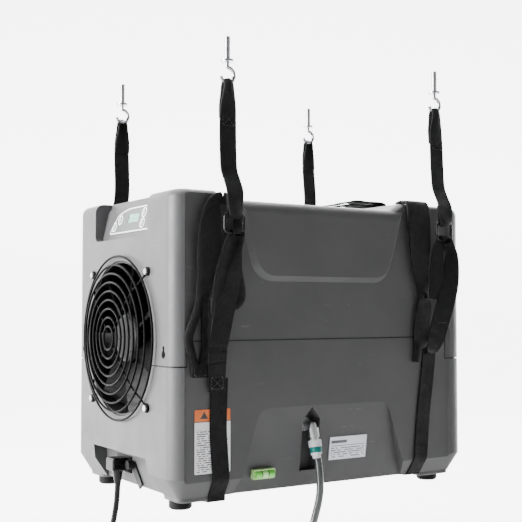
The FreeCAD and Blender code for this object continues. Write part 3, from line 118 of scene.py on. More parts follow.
def make_sky():
    """A pale horizon that darkens upwards."""
    world = bpy.data.worlds.new("Studio")
    world.use_nodes = True
    tree = world.node_tree
    background = tree.nodes["Background"]
    background.inputs["Color"].default_value = (1.0, 1.0, 1.0, 1)
    direction = tree.nodes.new("ShaderNodeTexCoord")
    height = tree.nodes.new("ShaderNodeSeparateXYZ")
    fade = tree.nodes.new("ShaderNodeMapRange")
    for socket, value in (("From Min", 0.0), ("From Max", 0.4), ("To Min", 0.62), ("To Max", 0.04)):
        fade.inputs[socket].default_value = value
    tree.links.new(direction.outputs["Generated"], height.inputs["Vector"])
    tree.links.new(height.outputs["Z"], fade.inputs["Value"])
    tree.links.new(fade.outputs["Result"], background.inputs["Strength"])
    bpy.context.scene.world = world


BACKDROP_REACH = 9.0
BACKDROP_START = 3.0
BACKDROP_BEND = 1.2
BACKDROP_STEPS = 12
BACKDROP_TURN = -32


def make_backdrop():
    """A pale floor just under the lowest coil that curves up into a wall behind the object."""
    level = cad_box[0][2] - 0.02
    profile = [(-BACKDROP_REACH, level)]
    for step in range(BACKDROP_STEPS + 1):
        angle = math.radians(90 * step / BACKDROP_STEPS)
        profile.append((BACKDROP_START + BACKDROP_BEND * math.sin(angle),
                        level + BACKDROP_BEND * (1 - math.cos(angle))))
    profile.append((BACKDROP_START + BACKDROP_BEND, level + 6.0))
    mesh = bmesh.new()
    rows = [[mesh.verts.new((x, y, z)) for x in (-BACKDROP_REACH, BACKDROP_REACH)] for y, z in profile]
    for low, high in zip(rows, rows[1:]):
        mesh.faces.new((low[0], low[1], high[1], high[0]))
    floor = mesh_object("Backdrop", mesh)
    floor.rotation_euler = (0, 0, math.radians(BACKDROP_TURN))
    use(floor, lit_paper())


def make_studio():
    """A strong soft box off the fan end, a weak one in front, and broad light from above and behind."""
    middle = case(0, 0, 230)
    area_light("SoftBoxLeft", (-2.6, 0.5, 0.35), middle, (1.8, 2.0), 300)
    area_light("SoftBoxFront", (0.9, -2.4, 1.1), middle, (1.4, 1.2), 3)
    area_light("TopLight", (-0.2, 0.5, 1.7), middle, (2.4, 2.0), 80)
    area_light("BackLight", (1.2, 2.2, 0.8), middle, (2.0, 1.4), 40)
    make_sky()
    make_backdrop()


# ---------------------------------------------------------------- mesh and material helpers

def mesh_object(name, mesh):
    """A smooth-shaded object made from a finished mesh, which it uses up."""
    data = bpy.data.meshes.new(name)
    mesh.to_mesh(data)
    mesh.free()
    data.polygons.foreach_set("use_smooth", [True] * len(data.polygons))
    piece = bpy.data.objects.new(name, data)
    bpy.context.scene.collection.objects.link(piece)
    return piece


def use(piece, material):
    """Gives a piece one material and no other."""
    piece.data.materials.clear()
    piece.data.materials.append(material)


class Nodes:
    """A short way to write a material's nodes."""

    def __init__(self, name, colour, roughness, metallic=0.0):
        self.material = bpy.data.materials.new(name)
        self.material.use_nodes = True
        self.tree = self.material.node_tree
        self.shader = self.tree.nodes["Principled BSDF"]
        self.set("Base Color", (*colour, 1))
        self.set("Roughness", roughness)
        self.set("Metallic", metallic)

    def set(self, socket, value):
        self.shader.inputs[socket].default_value = value

    def add(self, kind, inputs=None, **settings):
        made = self.tree.nodes.new(kind)
        for key, value in settings.items():
            setattr(made, key, value)
        for key, value in (inputs or {}).items():
            if isinstance(value, bpy.types.NodeSocket):
                self.tree.links.new(value, made.inputs[key])
            else:
                made.inputs[key].default_value = value
        return made

    def link(self, output, socket):
        self.tree.links.new(output, self.shader.inputs[socket])

    def place(self):
        """The point on the object, in metres."""
        return self.add("ShaderNodeTexCoord").outputs["Object"]

    def noise(self, scale, detail=3.0, vector=None, roughness=0.5):
        """Cloudy noise from 0 to 1, with its scale in cells a metre."""
        inputs = {"Scale": scale, "Detail": detail, "Roughness": roughness}
        inputs["Vector"] = vector or self.place()
        return self.add("ShaderNodeTexNoise", inputs).outputs["Fac"]

    def stretch(self, scale, vector=None):
        """The point, scaled apart along each axis."""
        inputs = {"Vector": vector or self.place(), "Scale": scale}
        return self.add("ShaderNodeMapping", inputs).outputs["Vector"]

    def ramp(self, value, low, high, low_colour, high_colour):
        """A colour that changes between two values."""
        node = self.add("ShaderNodeValToRGB", {"Fac": value})
        node.color_ramp.elements[0].position = low
        node.color_ramp.elements[1].position = high
        node.color_ramp.elements[0].color = (*low_colour, 1)
        node.color_ramp.elements[1].color = (*high_colour, 1)
        return node.outputs["Color"]

    def grey_ramp(self, value, low, high, low_grey, high_grey):
        return self.ramp(value, low, high, (low_grey,) * 3, (high_grey,) * 3)

    def math(self, operation, a, b=0.0, clamp=False):
        node = self.add("ShaderNodeMath", operation=operation, use_clamp=clamp)
        for index, value in enumerate((a, b)):
            if isinstance(value, bpy.types.NodeSocket):
                self.tree.links.new(value, node.inputs[index])
            else:
                node.inputs[index].default_value = value
        return node.outputs[0]

    def mix(self, factor, a, b):
        """Colour a where the factor is 0 and colour b where it is 1."""
        node = self.add("ShaderNodeMix", data_type="RGBA")
        for socket, value in (("Factor", factor), ("A", a), ("B", b)):
            target = next(s for s in node.inputs if s.name == socket and (
                s.type == ("VALUE" if socket == "Factor" else "RGBA")))
            if isinstance(value, bpy.types.NodeSocket):
                self.tree.links.new(value, target)
            else:
                target.default_value = value if socket == "Factor" else (*value, 1)
        return next(s for s in node.outputs if s.type == "RGBA")

    def axis(self, name, vector=None):
        return self.add("ShaderNodeSeparateXYZ", {"Vector": vector or self.place()}).outputs[name]

    def bump(self, height, strength, distance=0.001, normal=None):
        """Relief from a height, on top of another normal where one is given."""
        inputs = {"Height": height, "Strength": strength, "Distance": distance}
        if normal:
            inputs["Normal"] = normal
        return self.add("ShaderNodeBump", inputs).outputs["Normal"]


def moulded(name, colour, roughness=0.5, grain=900.0, depth=0.25, cloud=0.15, shine=0.5):
    """Moulded plastic: an even colour, a fine pebbled grain and a little cloudiness."""
    nodes = Nodes(name, colour, roughness)
    nodes.set("Specular IOR Level", shine)
    pale = tuple(min(1.0, part * (1 + 2 * cloud)) for part in colour)
    nodes.link(nodes.ramp(nodes.noise(14, 4), 0.35, 0.75, colour, pale), "Base Color")
    nodes.link(nodes.grey_ramp(nodes.noise(40), 0.3, 0.7, roughness - 0.06, roughness + 0.07), "Roughness")
    nodes.link(nodes.bump(nodes.noise(grain, 2), depth, 0.0004), "Normal")
    return nodes.material


def metal(name, colour, roughness, scratch=0.2, brushed=(400, 400, 400)):
    """Bare or plated metal with a fine, slightly brushed unevenness."""
    nodes = Nodes(name, colour, roughness, 1.0)
    grain = nodes.noise(1.0, 4, nodes.stretch(brushed))
    dull = tuple(part * 0.72 for part in colour)
    nodes.link(nodes.ramp(nodes.noise(120), 0.3, 0.7, dull, colour), "Base Color")
    nodes.link(nodes.grey_ramp(grain, 0.3, 0.7, roughness * 0.75, roughness * 1.3), "Roughness")
    nodes.link(nodes.bump(grain, scratch, 0.0002), "Normal")
    return nodes.material


def housing_material():
    """Charcoal moulded polyethylene: satin, finely pebbled, with faint scuffs and handling marks."""
    nodes = Nodes("CharcoalShell", (0.075, 0.075, 0.077), 0.4)
    cloud = nodes.ramp(nodes.noise(7, 5), 0.3, 0.75, (0.062, 0.062, 0.064), (0.082, 0.082, 0.084))
    long_marks = nodes.noise(1.0, 5, nodes.stretch((35, 35, 210)), 0.65)
    scuffs = nodes.grey_ramp(long_marks, 0.66, 0.78, 0.0, 0.5)
    nodes.link(nodes.mix(scuffs, cloud, (0.24, 0.24, 0.245)), "Base Color")
    satin = nodes.grey_ramp(nodes.noise(26, 4), 0.3, 0.7, 0.38, 0.5)
    nodes.link(satin, "Roughness")
    pebble = nodes.noise(1100, 2)
    ripple = nodes.noise(22, 2)
    soft = nodes.bump(ripple, 0.25, 0.002)
    nodes.link(nodes.bump(pebble, 0.22, 0.0004, soft), "Normal")
    return nodes.material


def webbing_material(name, dark=(0.002, 0.002, 0.0022), pale=(0.011, 0.011, 0.012)):
    """Woven nylon webbing: rows of short floats set like bricks, seen through the strip's own UV map."""
    nodes = Nodes(name, dark, 0.55)
    strip = nodes.add("ShaderNodeTexCoord").outputs["UV"]
    brick = nodes.add("ShaderNodeTexBrick", {
        "Vector": strip, "Scale": 1.0, "Mortar Size": 0.00022, "Mortar Smooth": 1.0, "Bias": 0.0,
        "Brick Width": 0.0026, "Row Height": 0.0013, "Color1": (*pale, 1), "Color2": (*dark, 1),
        "Mortar": (0.002, 0.002, 0.002, 1)})
    rib = nodes.add("ShaderNodeTexWave", {
        "Vector": strip, "Scale": 260.0, "Distortion": 0.6, "Detail": 1.0}, bands_direction="DIAGONAL")
    nodes.link(nodes.mix(nodes.grey_ramp(nodes.noise(30, 3), 0.3, 0.7, 0.0, 0.45),
                         brick.outputs["Color"], pale), "Base Color")
    nodes.link(nodes.grey_ramp(nodes.noise(90), 0.3, 0.7, 0.42, 0.62), "Roughness")
    weave = nodes.math("MULTIPLY_ADD", brick.outputs["Fac"], -1.0)
    weave.node.inputs[2].default_value = 1.0
    coarse = nodes.bump(rib.outputs["Fac"], 0.3, 0.0006)
    nodes.link(nodes.bump(weave, 0.7, 0.0006, coarse), "Normal")
    nodes.set("Specular IOR Level", 0.14)
    return nodes.material


CONSOLE_TILT = 13.0
OVERLAY_OUTLINE = [(-71.0, 9.0), (86.0, 9.0), (86.0, 48.5), (-17.0, 48.5), (-48.0, 40.0)]


def console_print():
    """The console's printed film: a pale border line inside its edge and plain marks round the keys."""
    nodes = Nodes("ConsolePrint", (0.2, 0.205, 0.21), 0.35)
    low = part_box("control_overlay")[0]
    slope = math.radians(CONSOLE_TILT)
    across = nodes.math("MULTIPLY", nodes.axis("Y"), -1.0)
    across = nodes.math("ADD", across, low[1] + OVERLAY_OUTLINE[1][0] * MM)
    rise = nodes.math("DIVIDE", nodes.math("SUBTRACT", nodes.axis("Z"), low[2]), math.cos(slope))
    up = nodes.math("ADD", rise, 0.009)
    inside = None
    for (x0, y0), (x1, y1) in zip(OVERLAY_OUTLINE, OVERLAY_OUTLINE[1:] + OVERLAY_OUTLINE[:1]):
        length = math.hypot(x1 - x0, y1 - y0)
        nx, ny = -(y1 - y0) / length, (x1 - x0) / length
        part = nodes.math("ADD", nodes.math("MULTIPLY", across, nx), nodes.math("MULTIPLY", up, ny))
        part = nodes.math("SUBTRACT", part, (nx * x0 + ny * y0) * MM)
        inside = part if inside is None else nodes.math("SMOOTH_MIN", inside, part)
        if inside is not part:
            inside.node.inputs[2].default_value = 0.006
    border = nodes.math("COMPARE", inside, 0.0017)
    border.node.inputs[2].default_value = 0.00085
    mark = nodes.math("MULTIPLY", border, nodes.math("GREATER_THAN", up, 0.004))
    for name in ("power_button", "mode_button", "up_button", "down_button"):
        key_low, key_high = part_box(name)
        middle = (Vector(key_low) + Vector(key_high)) / 2
        apart = nodes.add("ShaderNodeVectorMath", {0: nodes.place(), 1: middle}, operation="DISTANCE")
        ring = nodes.math("COMPARE", apart.outputs["Value"], 0.0068)
        ring.node.inputs[2].default_value = 0.0009
        mark = nodes.math("MAXIMUM", mark, ring)
    film = nodes.ramp(nodes.noise(60), 0.3, 0.7, (0.075, 0.08, 0.082), (0.095, 0.1, 0.102))
    nodes.link(nodes.mix(mark, film, (0.95, 0.95, 0.95)), "Base Color")
    nodes.link(nodes.bump(nodes.noise(500), 0.08, 0.0003), "Normal")
    return nodes.material


def display_glass():
    """A green liquid-crystal window with three plain digits of bars, and a faint painted green glow round the
    digits.
    """
    nodes = Nodes("DisplayGlass", (0.1, 0.42, 0.28), 0.12)
    low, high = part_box("lcd_window")
    across = nodes.math("DIVIDE", nodes.math("SUBTRACT", nodes.axis("Y"), low[1]), high[1] - low[1])
    up = nodes.math("DIVIDE", nodes.math("SUBTRACT", nodes.axis("Z"), low[2]), high[2] - low[2])
    column = nodes.math("FRACT", nodes.math("MULTIPLY", across, 3.0))
    bars = nodes.math("MULTIPLY", near(nodes, column, 0.5, 0.3), near(nodes, up, 0.5, 0.32))
    hollow = nodes.math("MULTIPLY", near(nodes, column, 0.5, 0.2),
                        nodes.math("MAXIMUM", near(nodes, up, 0.66, 0.1), near(nodes, up, 0.34, 0.1)))
    digits = nodes.math("SUBTRACT", bars, hollow, clamp=True)
    base = nodes.ramp(nodes.noise(80), 0.3, 0.7, (0.09, 0.38, 0.25), (0.13, 0.48, 0.33))
    nodes.link(nodes.mix(digits, base, (0.02, 0.09, 0.07)), "Base Color")
    # A faint painted green glow on the window, left dark on the digits; the display gives no light.
    nodes.link(nodes.mix(digits, (0.02, 0.1, 0.065), (0.0, 0.0, 0.0)), "Emission Color")
    nodes.set("Emission Strength", 0.6)
    nodes.set("Coat Weight", 0.6)
    nodes.link(nodes.bump(nodes.noise(300), 0.04, 0.0003), "Normal")
    return nodes.material


def near(nodes, value, middle, reach):
    """One where a value lies within reach of the middle, else nothing."""
    node = nodes.math("COMPARE", value, middle)
    node.node.inputs[2].default_value = reach
    return node


def rows_of_bars(nodes, across, up, rows, ragged):
    """Plain printed bars in rows of uneven length, that stand for small print."""
    row = nodes.math("MULTIPLY", up, rows)
    stripe = near(nodes, nodes.math("FRACT", row), 0.5, 0.2)
    number = nodes.math("FLOOR", row)
    column = nodes.math("FLOOR", nodes.math("MULTIPLY", across, ragged))
    spot = nodes.add("ShaderNodeCombineXYZ", {"X": column, "Y": number, "Z": 3.7}).outputs["Vector"]
    broken = nodes.add("ShaderNodeTexWhiteNoise", {"Vector": spot}).outputs["Value"]
    return nodes.math("MULTIPLY", stripe, nodes.math("GREATER_THAN", broken, 0.24))


def label_place(nodes, node_name):
    """Across and up on a label, each from 0 to 1."""
    low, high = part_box(node_name)
    across = nodes.math("DIVIDE", nodes.math("SUBTRACT", nodes.axis("X"), low[0]), high[0] - low[0])
    up = nodes.math("DIVIDE", nodes.math("SUBTRACT", nodes.axis("Z"), low[2]), high[2] - low[2])
    return across, up


def warning_print():
    """A white label with an orange head and rows of grey bars, with no words."""
    nodes = Nodes("WarningPrint", (0.8, 0.8, 0.8), 0.4)
    across, up = label_place(nodes, "warning_label")
    head = nodes.math("GREATER_THAN", up, 0.8)
    text = rows_of_bars(nodes, across, up, 30, 26)
    field = nodes.math("MULTIPLY", near(nodes, across, 0.5, 0.42), near(nodes, up, 0.36, 0.32))
    ink = nodes.math("MULTIPLY", text, field)
    body = nodes.mix(ink, (0.93, 0.93, 0.95), (0.02, 0.02, 0.024))
    shade = nodes.ramp(nodes.noise(40), 0.3, 0.7, (0.78, 0.17, 0.04), (0.9, 0.24, 0.06))
    slope = nodes.math("ABSOLUTE", nodes.math("SUBTRACT", across, 0.27))
    height = nodes.math("ADD", nodes.math("MULTIPLY", slope, 1.0), up)
    triangle = nodes.math("MULTIPLY", nodes.math("LESS_THAN", height, 0.955),
                          nodes.math("GREATER_THAN", up, 0.845))
    head_colour = nodes.mix(triangle, shade, (0.05, 0.05, 0.055))
    line = near(nodes, up, 0.8, 0.006)
    colour = nodes.mix(line, nodes.mix(head, body, head_colour), (0.03, 0.03, 0.03))
    rim = nodes.math("MAXIMUM", nodes.math("ABSOLUTE", nodes.math("SUBTRACT", across, 0.5)),
                     nodes.math("ABSOLUTE", nodes.math("SUBTRACT", up, 0.5)))
    nodes.link(nodes.mix(nodes.math("GREATER_THAN", rim, 0.486), colour, (0.04, 0.04, 0.04)), "Base Color")
    nodes.link(nodes.bump(nodes.noise(400), 0.06, 0.0003), "Normal")
    return nodes.material


def rating_print():
    """A silvery label with a bold bar at its head and rows of thin grey bars, with no words."""
    nodes = Nodes("RatingPrint", (0.62, 0.64, 0.7), 0.3)
    across, up = label_place(nodes, "rating_label")
    thin = nodes.math("MULTIPLY", rows_of_bars(nodes, across, up, 11, 22),
                      nodes.math("MULTIPLY", near(nodes, across, 0.5, 0.44), near(nodes, up, 0.3, 0.22)))
    bold = nodes.math("MULTIPLY", near(nodes, across, 0.26, 0.2), near(nodes, up, 0.77, 0.06))
    rule = nodes.math("MULTIPLY", near(nodes, up, 0.6, 0.012), near(nodes, across, 0.5, 0.44))
    ink = nodes.math("MAXIMUM", nodes.math("MAXIMUM", thin, bold), rule)
    brushed = nodes.noise(1.0, 3, nodes.stretch((60, 60, 900)))
    foil = nodes.ramp(brushed, 0.3, 0.7, (0.8, 0.82, 0.88), (0.9, 0.92, 0.97))
    colour = nodes.mix(ink, foil, (0.1, 0.1, 0.13))
    rim = nodes.math("MAXIMUM", nodes.math("ABSOLUTE", nodes.math("SUBTRACT", across, 0.5)),
                     nodes.math("ABSOLUTE", nodes.math("SUBTRACT", up, 0.5)))
    nodes.link(nodes.mix(nodes.math("GREATER_THAN", rim, 0.482), colour, (0.12, 0.12, 0.14)), "Base Color")
    nodes.set("Metallic", 0.15)
    return nodes.material


def clear_plastic(name, colour, roughness, transmission):
    """Clear or tinted plastic with a slightly wavy surface."""
    nodes = Nodes(name, colour, roughness)
    nodes.set("Transmission Weight", transmission)
    nodes.set("IOR", 1.45)
    nodes.set("Coat Weight", 0.4)
    nodes.link(nodes.grey_ramp(nodes.noise(70), 0.3, 0.7, roughness * 0.7, roughness * 1.5), "Roughness")
    nodes.link(nodes.bump(nodes.noise(150, 2), 0.1, 0.0008), "Normal")
    return nodes.material


def vial_liquid():
    """The level's tube of green spirit: a pale bubble between two black lines, with a faint painted green
    glow.
    """
    nodes = Nodes("VialLiquid", (0.15, 0.7, 0.08), 0.08)
    low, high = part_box("level_vial")
    along = nodes.math("SUBTRACT", nodes.axis("X"), (low[0] + high[0]) / 2)
    away = nodes.math("ABSOLUTE", along)
    lines = near(nodes, away, 0.0052, 0.0007)
    bubble = nodes.math("LESS_THAN", away, 0.0042)
    spirit = nodes.ramp(nodes.noise(90), 0.3, 0.7, (0.1, 0.55, 0.05), (0.25, 0.85, 0.14))
    colour = nodes.mix(bubble, spirit, (0.55, 0.95, 0.4))
    nodes.link(nodes.mix(lines, colour, (0.01, 0.03, 0.01)), "Base Color")
    # A faint painted green glow, though the vial gives no light.
    nodes.set("Emission Strength", 0.12)
    nodes.set("Emission Color", (0.2, 0.8, 0.1, 1))
    nodes.set("Coat Weight", 0.8)
    return nodes.material


def finned(name, colour):
    """Thin aluminium fins, close together across the coil, with painted shade in the gaps between them."""
    nodes = Nodes(name, colour, 0.4, 0.9)
    fin = nodes.add("ShaderNodeTexWave", {"Vector": nodes.place(), "Scale": 130.0, "Distortion": 0.2},
                    bands_direction="Y")
    # The gaps between the fins are painted darker, as the shade that falls between them.
    painted_gap_shade = tuple(0.3 * part for part in colour)
    nodes.link(nodes.ramp(fin.outputs["Fac"], 0.2, 0.8, painted_gap_shade, colour), "Base Color")
    nodes.link(nodes.bump(fin.outputs["Fac"], 0.8, 0.001), "Normal")
    return nodes.material


def mat_fibre():
    """The filter's open fibre mat."""
    nodes = Nodes("FilterMat", (0.25, 0.26, 0.27), 0.9)
    fibre = nodes.noise(420, 6, roughness=0.8)
    nodes.link(nodes.ramp(fibre, 0.35, 0.65, (0.05, 0.05, 0.055), (0.4, 0.41, 0.42)), "Base Color")
    nodes.link(nodes.bump(fibre, 0.9, 0.002), "Normal")
    return nodes.material


def cord_material():
    """The mains lead's glossy black jacket."""
    nodes = Nodes("CordJacket", (0.003, 0.003, 0.0034), 0.24)
    nodes.set("Specular IOR Level", 0.25)
    nodes.link(nodes.grey_ramp(nodes.noise(60), 0.3, 0.7, 0.2, 0.3), "Roughness")
    nodes.link(nodes.bump(nodes.noise(700, 2), 0.15, 0.0003), "Normal")
    return nodes.material


def hose_material():
    """Smoky clear vinyl with a bright, wet-looking surface."""
    nodes = Nodes("ClearVinyl", (0.08, 0.088, 0.088), 0.1)
    nodes.set("Transmission Weight", 0.22)
    nodes.set("IOR", 1.5)
    nodes.set("Coat Weight", 1.0)
    nodes.link(nodes.bump(nodes.noise(180, 2), 0.12, 0.0006), "Normal")
    nodes.link(nodes.grey_ramp(nodes.noise(45), 0.3, 0.7, 0.08, 0.2), "Roughness")
    return nodes.material


def make_finishes():
    """One material for each of the record's slots."""
    return {
        "housing": housing_material(),
        "seal": moulded("GasketRubber", (0.01, 0.01, 0.01), 0.6),
        "screw_steel": metal("ScrewSteel", (0.62, 0.62, 0.64), 0.28),
        "foot_rubber": moulded("FootRubber", (0.004, 0.004, 0.0045), 0.5, 500, shine=0.15),
        "guard_wire": moulded("GuardPaint", (0.002, 0.002, 0.0022), 0.4, 700, 0.15, shine=0.05),
        "black_plastic": moulded("BlackPlastic", (0.003, 0.003, 0.0032), 0.3, 900, 0.15, shine=0.12),
        "motor_case": metal("MotorCase", (0.2, 0.2, 0.21), 0.4),
        "bezel": moulded("BezelPlastic", (0.06, 0.06, 0.062), 0.45),
        "overlay": console_print(),
        "lcd": display_glass(),
        "keys": moulded("KeyRubber", (0.35, 0.36, 0.37), 0.45),
        "board": moulded("BoardGreen", (0.02, 0.11, 0.05), 0.4, 300, 0.4),
        "cord": cord_material(),
        "retainer": moulded("RetainerStrap", (0.004, 0.004, 0.0045), 0.4, 500, 0.3, shine=0.3),
        "tie": webbing_material("HookAndLoop"),
        "nickel": metal("Nickel", (0.9, 0.91, 0.92), 0.42),
        "collar": clear_plastic("CollarPlastic", (0.92, 0.93, 0.95), 0.16, 0.1),
        "teal_ring": moulded("TealRing", (0.0, 0.19, 0.17), 0.3, 700, 0.1),
        "hose": hose_material(),
        "vial_block": clear_plastic("LevelBlock", (0.5, 0.85, 0.3), 0.2, 0.15),
        "vial": vial_liquid(),
        "label": warning_print(),
        "silver_label": rating_print(),
        "filter_mat": mat_fibre(),
        "fins": finned("Fins", (0.68, 0.69, 0.71)),
        "pan": moulded("PanPlastic", (0.5, 0.51, 0.52), 0.45),
        "compressor_paint": moulded("CompressorPaint", (0.012, 0.012, 0.013), 0.25, 250, 0.2),
        "copper": metal("Copper", (0.7, 0.32, 0.16), 0.25),
        "float": moulded("FloatPlastic", (0.75, 0.74, 0.7), 0.4),
        "webbing": webbing_material("BlackWebbing"),
        "ring_steel": metal("RingSteel", (0.04, 0.04, 0.042), 0.26),
        "hook_steel": metal("HookZinc", (0.66, 0.67, 0.7), 0.24),
    }


def paint_cad(finishes):
    """Gives every CAD node the finish of its slot in the record."""
    for part in frame["record"]["subparts"]:
        for slot in frame["nodes"][part["node"]].material_slots:
            slot.material = finishes[part["material_slot"]]


# ---------------------------------------------------------------- webbing

WEBBING_WIDTH = 26.0
WEBBING_THICKNESS = 2.2


def smooth_stations(stations, steps):
    """More stations between the given ones, on a Catmull-Rom line through every value."""
    line = []
    last = len(stations) - 1
    for index in range(last):
        a, b, c, d = (stations[min(max(index + shift, 0), last)] for shift in (-1, 0, 1, 2))
        for step in range(steps):
            t = step / steps
            line.append([0.5 * (2 * q + (r - p) * t + (2 * p - 5 * q + 4 * r - u) * t * t
                                + (3 * q - p - 3 * r + u) * t ** 3) for p, q, r, u in zip(a, b, c, d)])
    line.append(list(stations[-1]))
    return line


def strip_section(width, thick):
    """A strip's outline across: flat faces with slightly thicker woven edges, cupped where it is gathered."""
    half = width / 2
    cup = 0.3 * math.sqrt(max(0.0, WEBBING_WIDTH ** 2 - width ** 2)) / 2 if thick < 4 else 0.0
    bulge = 0.5 if thick < 4 else 0.2
    shape = []
    for share, depth in ((-1, 0.3), (-0.96, 0.52), (-0.88, 0.5), (-0.6, bulge - 0.06), (-0.2, bulge - 0.08),
                         (0.2, bulge - 0.08), (0.6, bulge - 0.06), (0.88, 0.5), (0.96, 0.52), (1, 0.3)):
        if thick >= 4:
            depth = 0.5 * math.sqrt(max(0.02, 1 - share * share))
        shape.append((share * half, depth * thick, cup * (1 - share * share)))
    front = [(across, depth + lift) for across, depth, lift in shape]
    back = [(across, lift - depth) for across, depth, lift in reversed(shape)]
    return front + back


def strip(mesh, stations, flat="X", thick=WEBBING_THICKNESS, steps=5, mirror=1, seed=0):
    """Adds a strip of webbing along stations of x, y, z, width and turn, with a UV map in metres."""
    chance = random.Random(seed)
    layer = mesh.loops.layers.uv.verify()
    line = smooth_stations([tuple(map(float, station)) for station in stations], steps)
    points = [Vector(station[:3]) for station in line]
    side = Vector((1, 0, 0)) if flat == "X" else Vector((0, 1, 0))
    rows = []
    along = 0.0
    reach = []
    phase = chance.uniform(0, 6)
    for index, point in enumerate(points):
        if index:
            along += (point - points[index - 1]).length * MM
        ahead = points[min(index + 1, len(points) - 1)] - points[max(index - 1, 0)]
        ahead.normalize()
        across = (side - ahead * side.dot(ahead)).normalized()
        out = ahead.cross(across)
        turn = math.radians(line[index][4])
        across, out = (across * math.cos(turn) + out * math.sin(turn),
                       out * math.cos(turn) - across * math.sin(turn))
        if out.y > 0 and flat == "X" and turn == 0:
            out = -out
        wave = 0.35 * math.sin(along * 55 + phase)
        row = []
        for a, b in strip_section(line[index][3], thick):
            spot = point + across * a + out * (b + wave * (a / 13) ** 2)
            row.append((mesh.verts.new(case(spot.x, spot.y * mirror, spot.z)), a * MM))
        rows.append(row)
        reach.append(along)
    count = len(rows[0])
    for row, following, start, end in zip(rows, rows[1:], reach, reach[1:]):
        for index in range(count):
            after = (index + 1) % count
            corners = ((row[index], start), (row[after], start),
                       (following[after], end), (following[index], end))
            face = mesh.faces.new([corner[0][0] for corner in corners])
            for loop, ((_, v), u) in zip(face.loops, corners):
                loop[layer].uv = (u, v)
    for row, u in ((rows[0], reach[0]), (rows[-1], reach[-1])):
        face = mesh.faces.new([vert for vert, _ in row])
        for loop, (_, v) in zip(face.loops, row):
            loop[layer].uv = (u, v)
    return points


def stitch(mesh, start, end, pitch=4.0, length=2.8, radius=0.45, mirror=1):
    """Adds a row of separate stitches between two points."""
    start, end = Vector(start), Vector(end)
    count = max(1, round((end - start).length / pitch))
    ahead = (end - start).normalized()
    side = ahead.cross(Vector((0, 1, 0))).normalized()
    for index in range(count):
        middle = start.lerp(end, (index + 0.5) / count)
        rings = []
        for share, size in ((-0.5, 0.4), (-0.3, 1.0), (0.3, 1.0), (0.5, 0.4)):
            ring = []
            for corner in range(6):
                angle = math.pi * corner / 3
                spot = (middle + ahead * length * share + side * radius * size * math.cos(angle)
                        + Vector((0, 1, 0)) * radius * size * math.sin(angle))
                ring.append(mesh.verts.new(case(spot.x, spot.y * mirror, spot.z)))
            rings.append(ring)
        for near_ring, far_ring in zip(rings, rings[1:]):
            for corner in range(6):
                after = (corner + 1) % 6
                mesh.faces.new((near_ring[corner], near_ring[after], far_ring[after], far_ring[corner]))
        mesh.faces.new(rings[0])
        mesh.faces.new(rings[-1])


def box_stitch(mesh, centre, width, height, mirror=1):
    """Adds a sewn box with a cross in it, on a face that looks along -Y."""
    x, y, z = centre
    corners = [(x + sx * width / 2, y, z + sz * height / 2)
               for sx, sz in ((-1, -1), (1, -1), (1, 1), (-1, 1))]
    for start, end in zip(corners, corners[1:] + corners[:1]):
        stitch(mesh, start, end, mirror=mirror)
    stitch(mesh, corners[0], corners[2], mirror=mirror)
    stitch(mesh, corners[1], corners[3], mirror=mirror)


def wire_loop(mesh, points, radius, mirror=1, sides=10):
    """Adds a closed loop of round wire through points."""
    count = len(points)
    rings = []
    for index, point in enumerate(points):
        ahead = (Vector(points[(index + 1) % count]) - Vector(points[index - 1])).normalized()
        side = ahead.cross(Vector((0, 1, 0))).normalized()
        up = ahead.cross(side)
        ring = []
        for step in range(sides):
            angle = 2 * math.pi * step / sides
            spot = Vector(point) + side * radius * math.cos(angle) + up * radius * math.sin(angle)
            ring.append(mesh.verts.new(case(spot.x, spot.y * mirror, spot.z)))
        rings.append(ring)
    for ring, after in zip(rings, rings[1:] + rings[:1]):
        for step in range(sides):
            following = (step + 1) % sides
            mesh.faces.new((ring[step], ring[following], after[following], after[step]))


def rounded_loop(centre, width, height, corner, per_corner=6):
    """The points of a rounded rectangle in the XZ plane."""
    points = []
    for quarter, (sx, sz) in enumerate(((1, 1), (-1, 1), (-1, -1), (1, -1))):
        middle_x = centre[0] + sx * (width / 2 - corner)
        middle_z = centre[2] + sz * (height / 2 - corner)
        for step in range(per_corner + 1):
            angle = math.radians(90 * quarter + 90 * step / per_corner)
            points.append((middle_x + corner * math.cos(angle), centre[1],
                           middle_z + corner * math.sin(angle)))
    return points


def finish_piece(name, mesh, slot, material, *nodes, sharp=True):
    """Turns a finished mesh into a piece that rides the case and stands for the given CAD nodes."""
    bmesh.ops.recalc_face_normals(mesh, faces=mesh.faces)
    piece = mesh_object(name, mesh)
    if sharp:
        piece.data.set_sharp_from_angle(angle=math.radians(50))
    use(piece, material)
    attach(piece, "root")
    if nodes:
        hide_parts(*nodes)
    return piece


def sling_line(floor_x, lean, floor, top, drift):
    """Stations of a sling, from its sewn end on the front, under the case, to its end on the rear."""
    face = 167.0
    half = [(face, top), (face, 110.0), (face, 60.0), (166.6, 43.0), (160.5, 32.0), (154.0, 21.0),
            (152.5, floor + 2.0), (149.0, floor - 1.3), (120.0, floor - 1.5), (50.0, floor - 2.0)]
    stations = [(floor_x + lean * (z - 12) + drift * max(0.0, 1 - z / 110), -y, z, WEBBING_WIDTH, 0)
                for y, z in half]
    return stations + [(x, -y, z, width, turn) for x, y, z, width, turn in reversed(stations)]


LEFT_RING = (-179.0, -189.5, 386.0)
RIGHT_RING = (199.0, -189.5, 391.0)
RING_SIZE = (34.0, 30.0)
RING_WIRE = 2.3

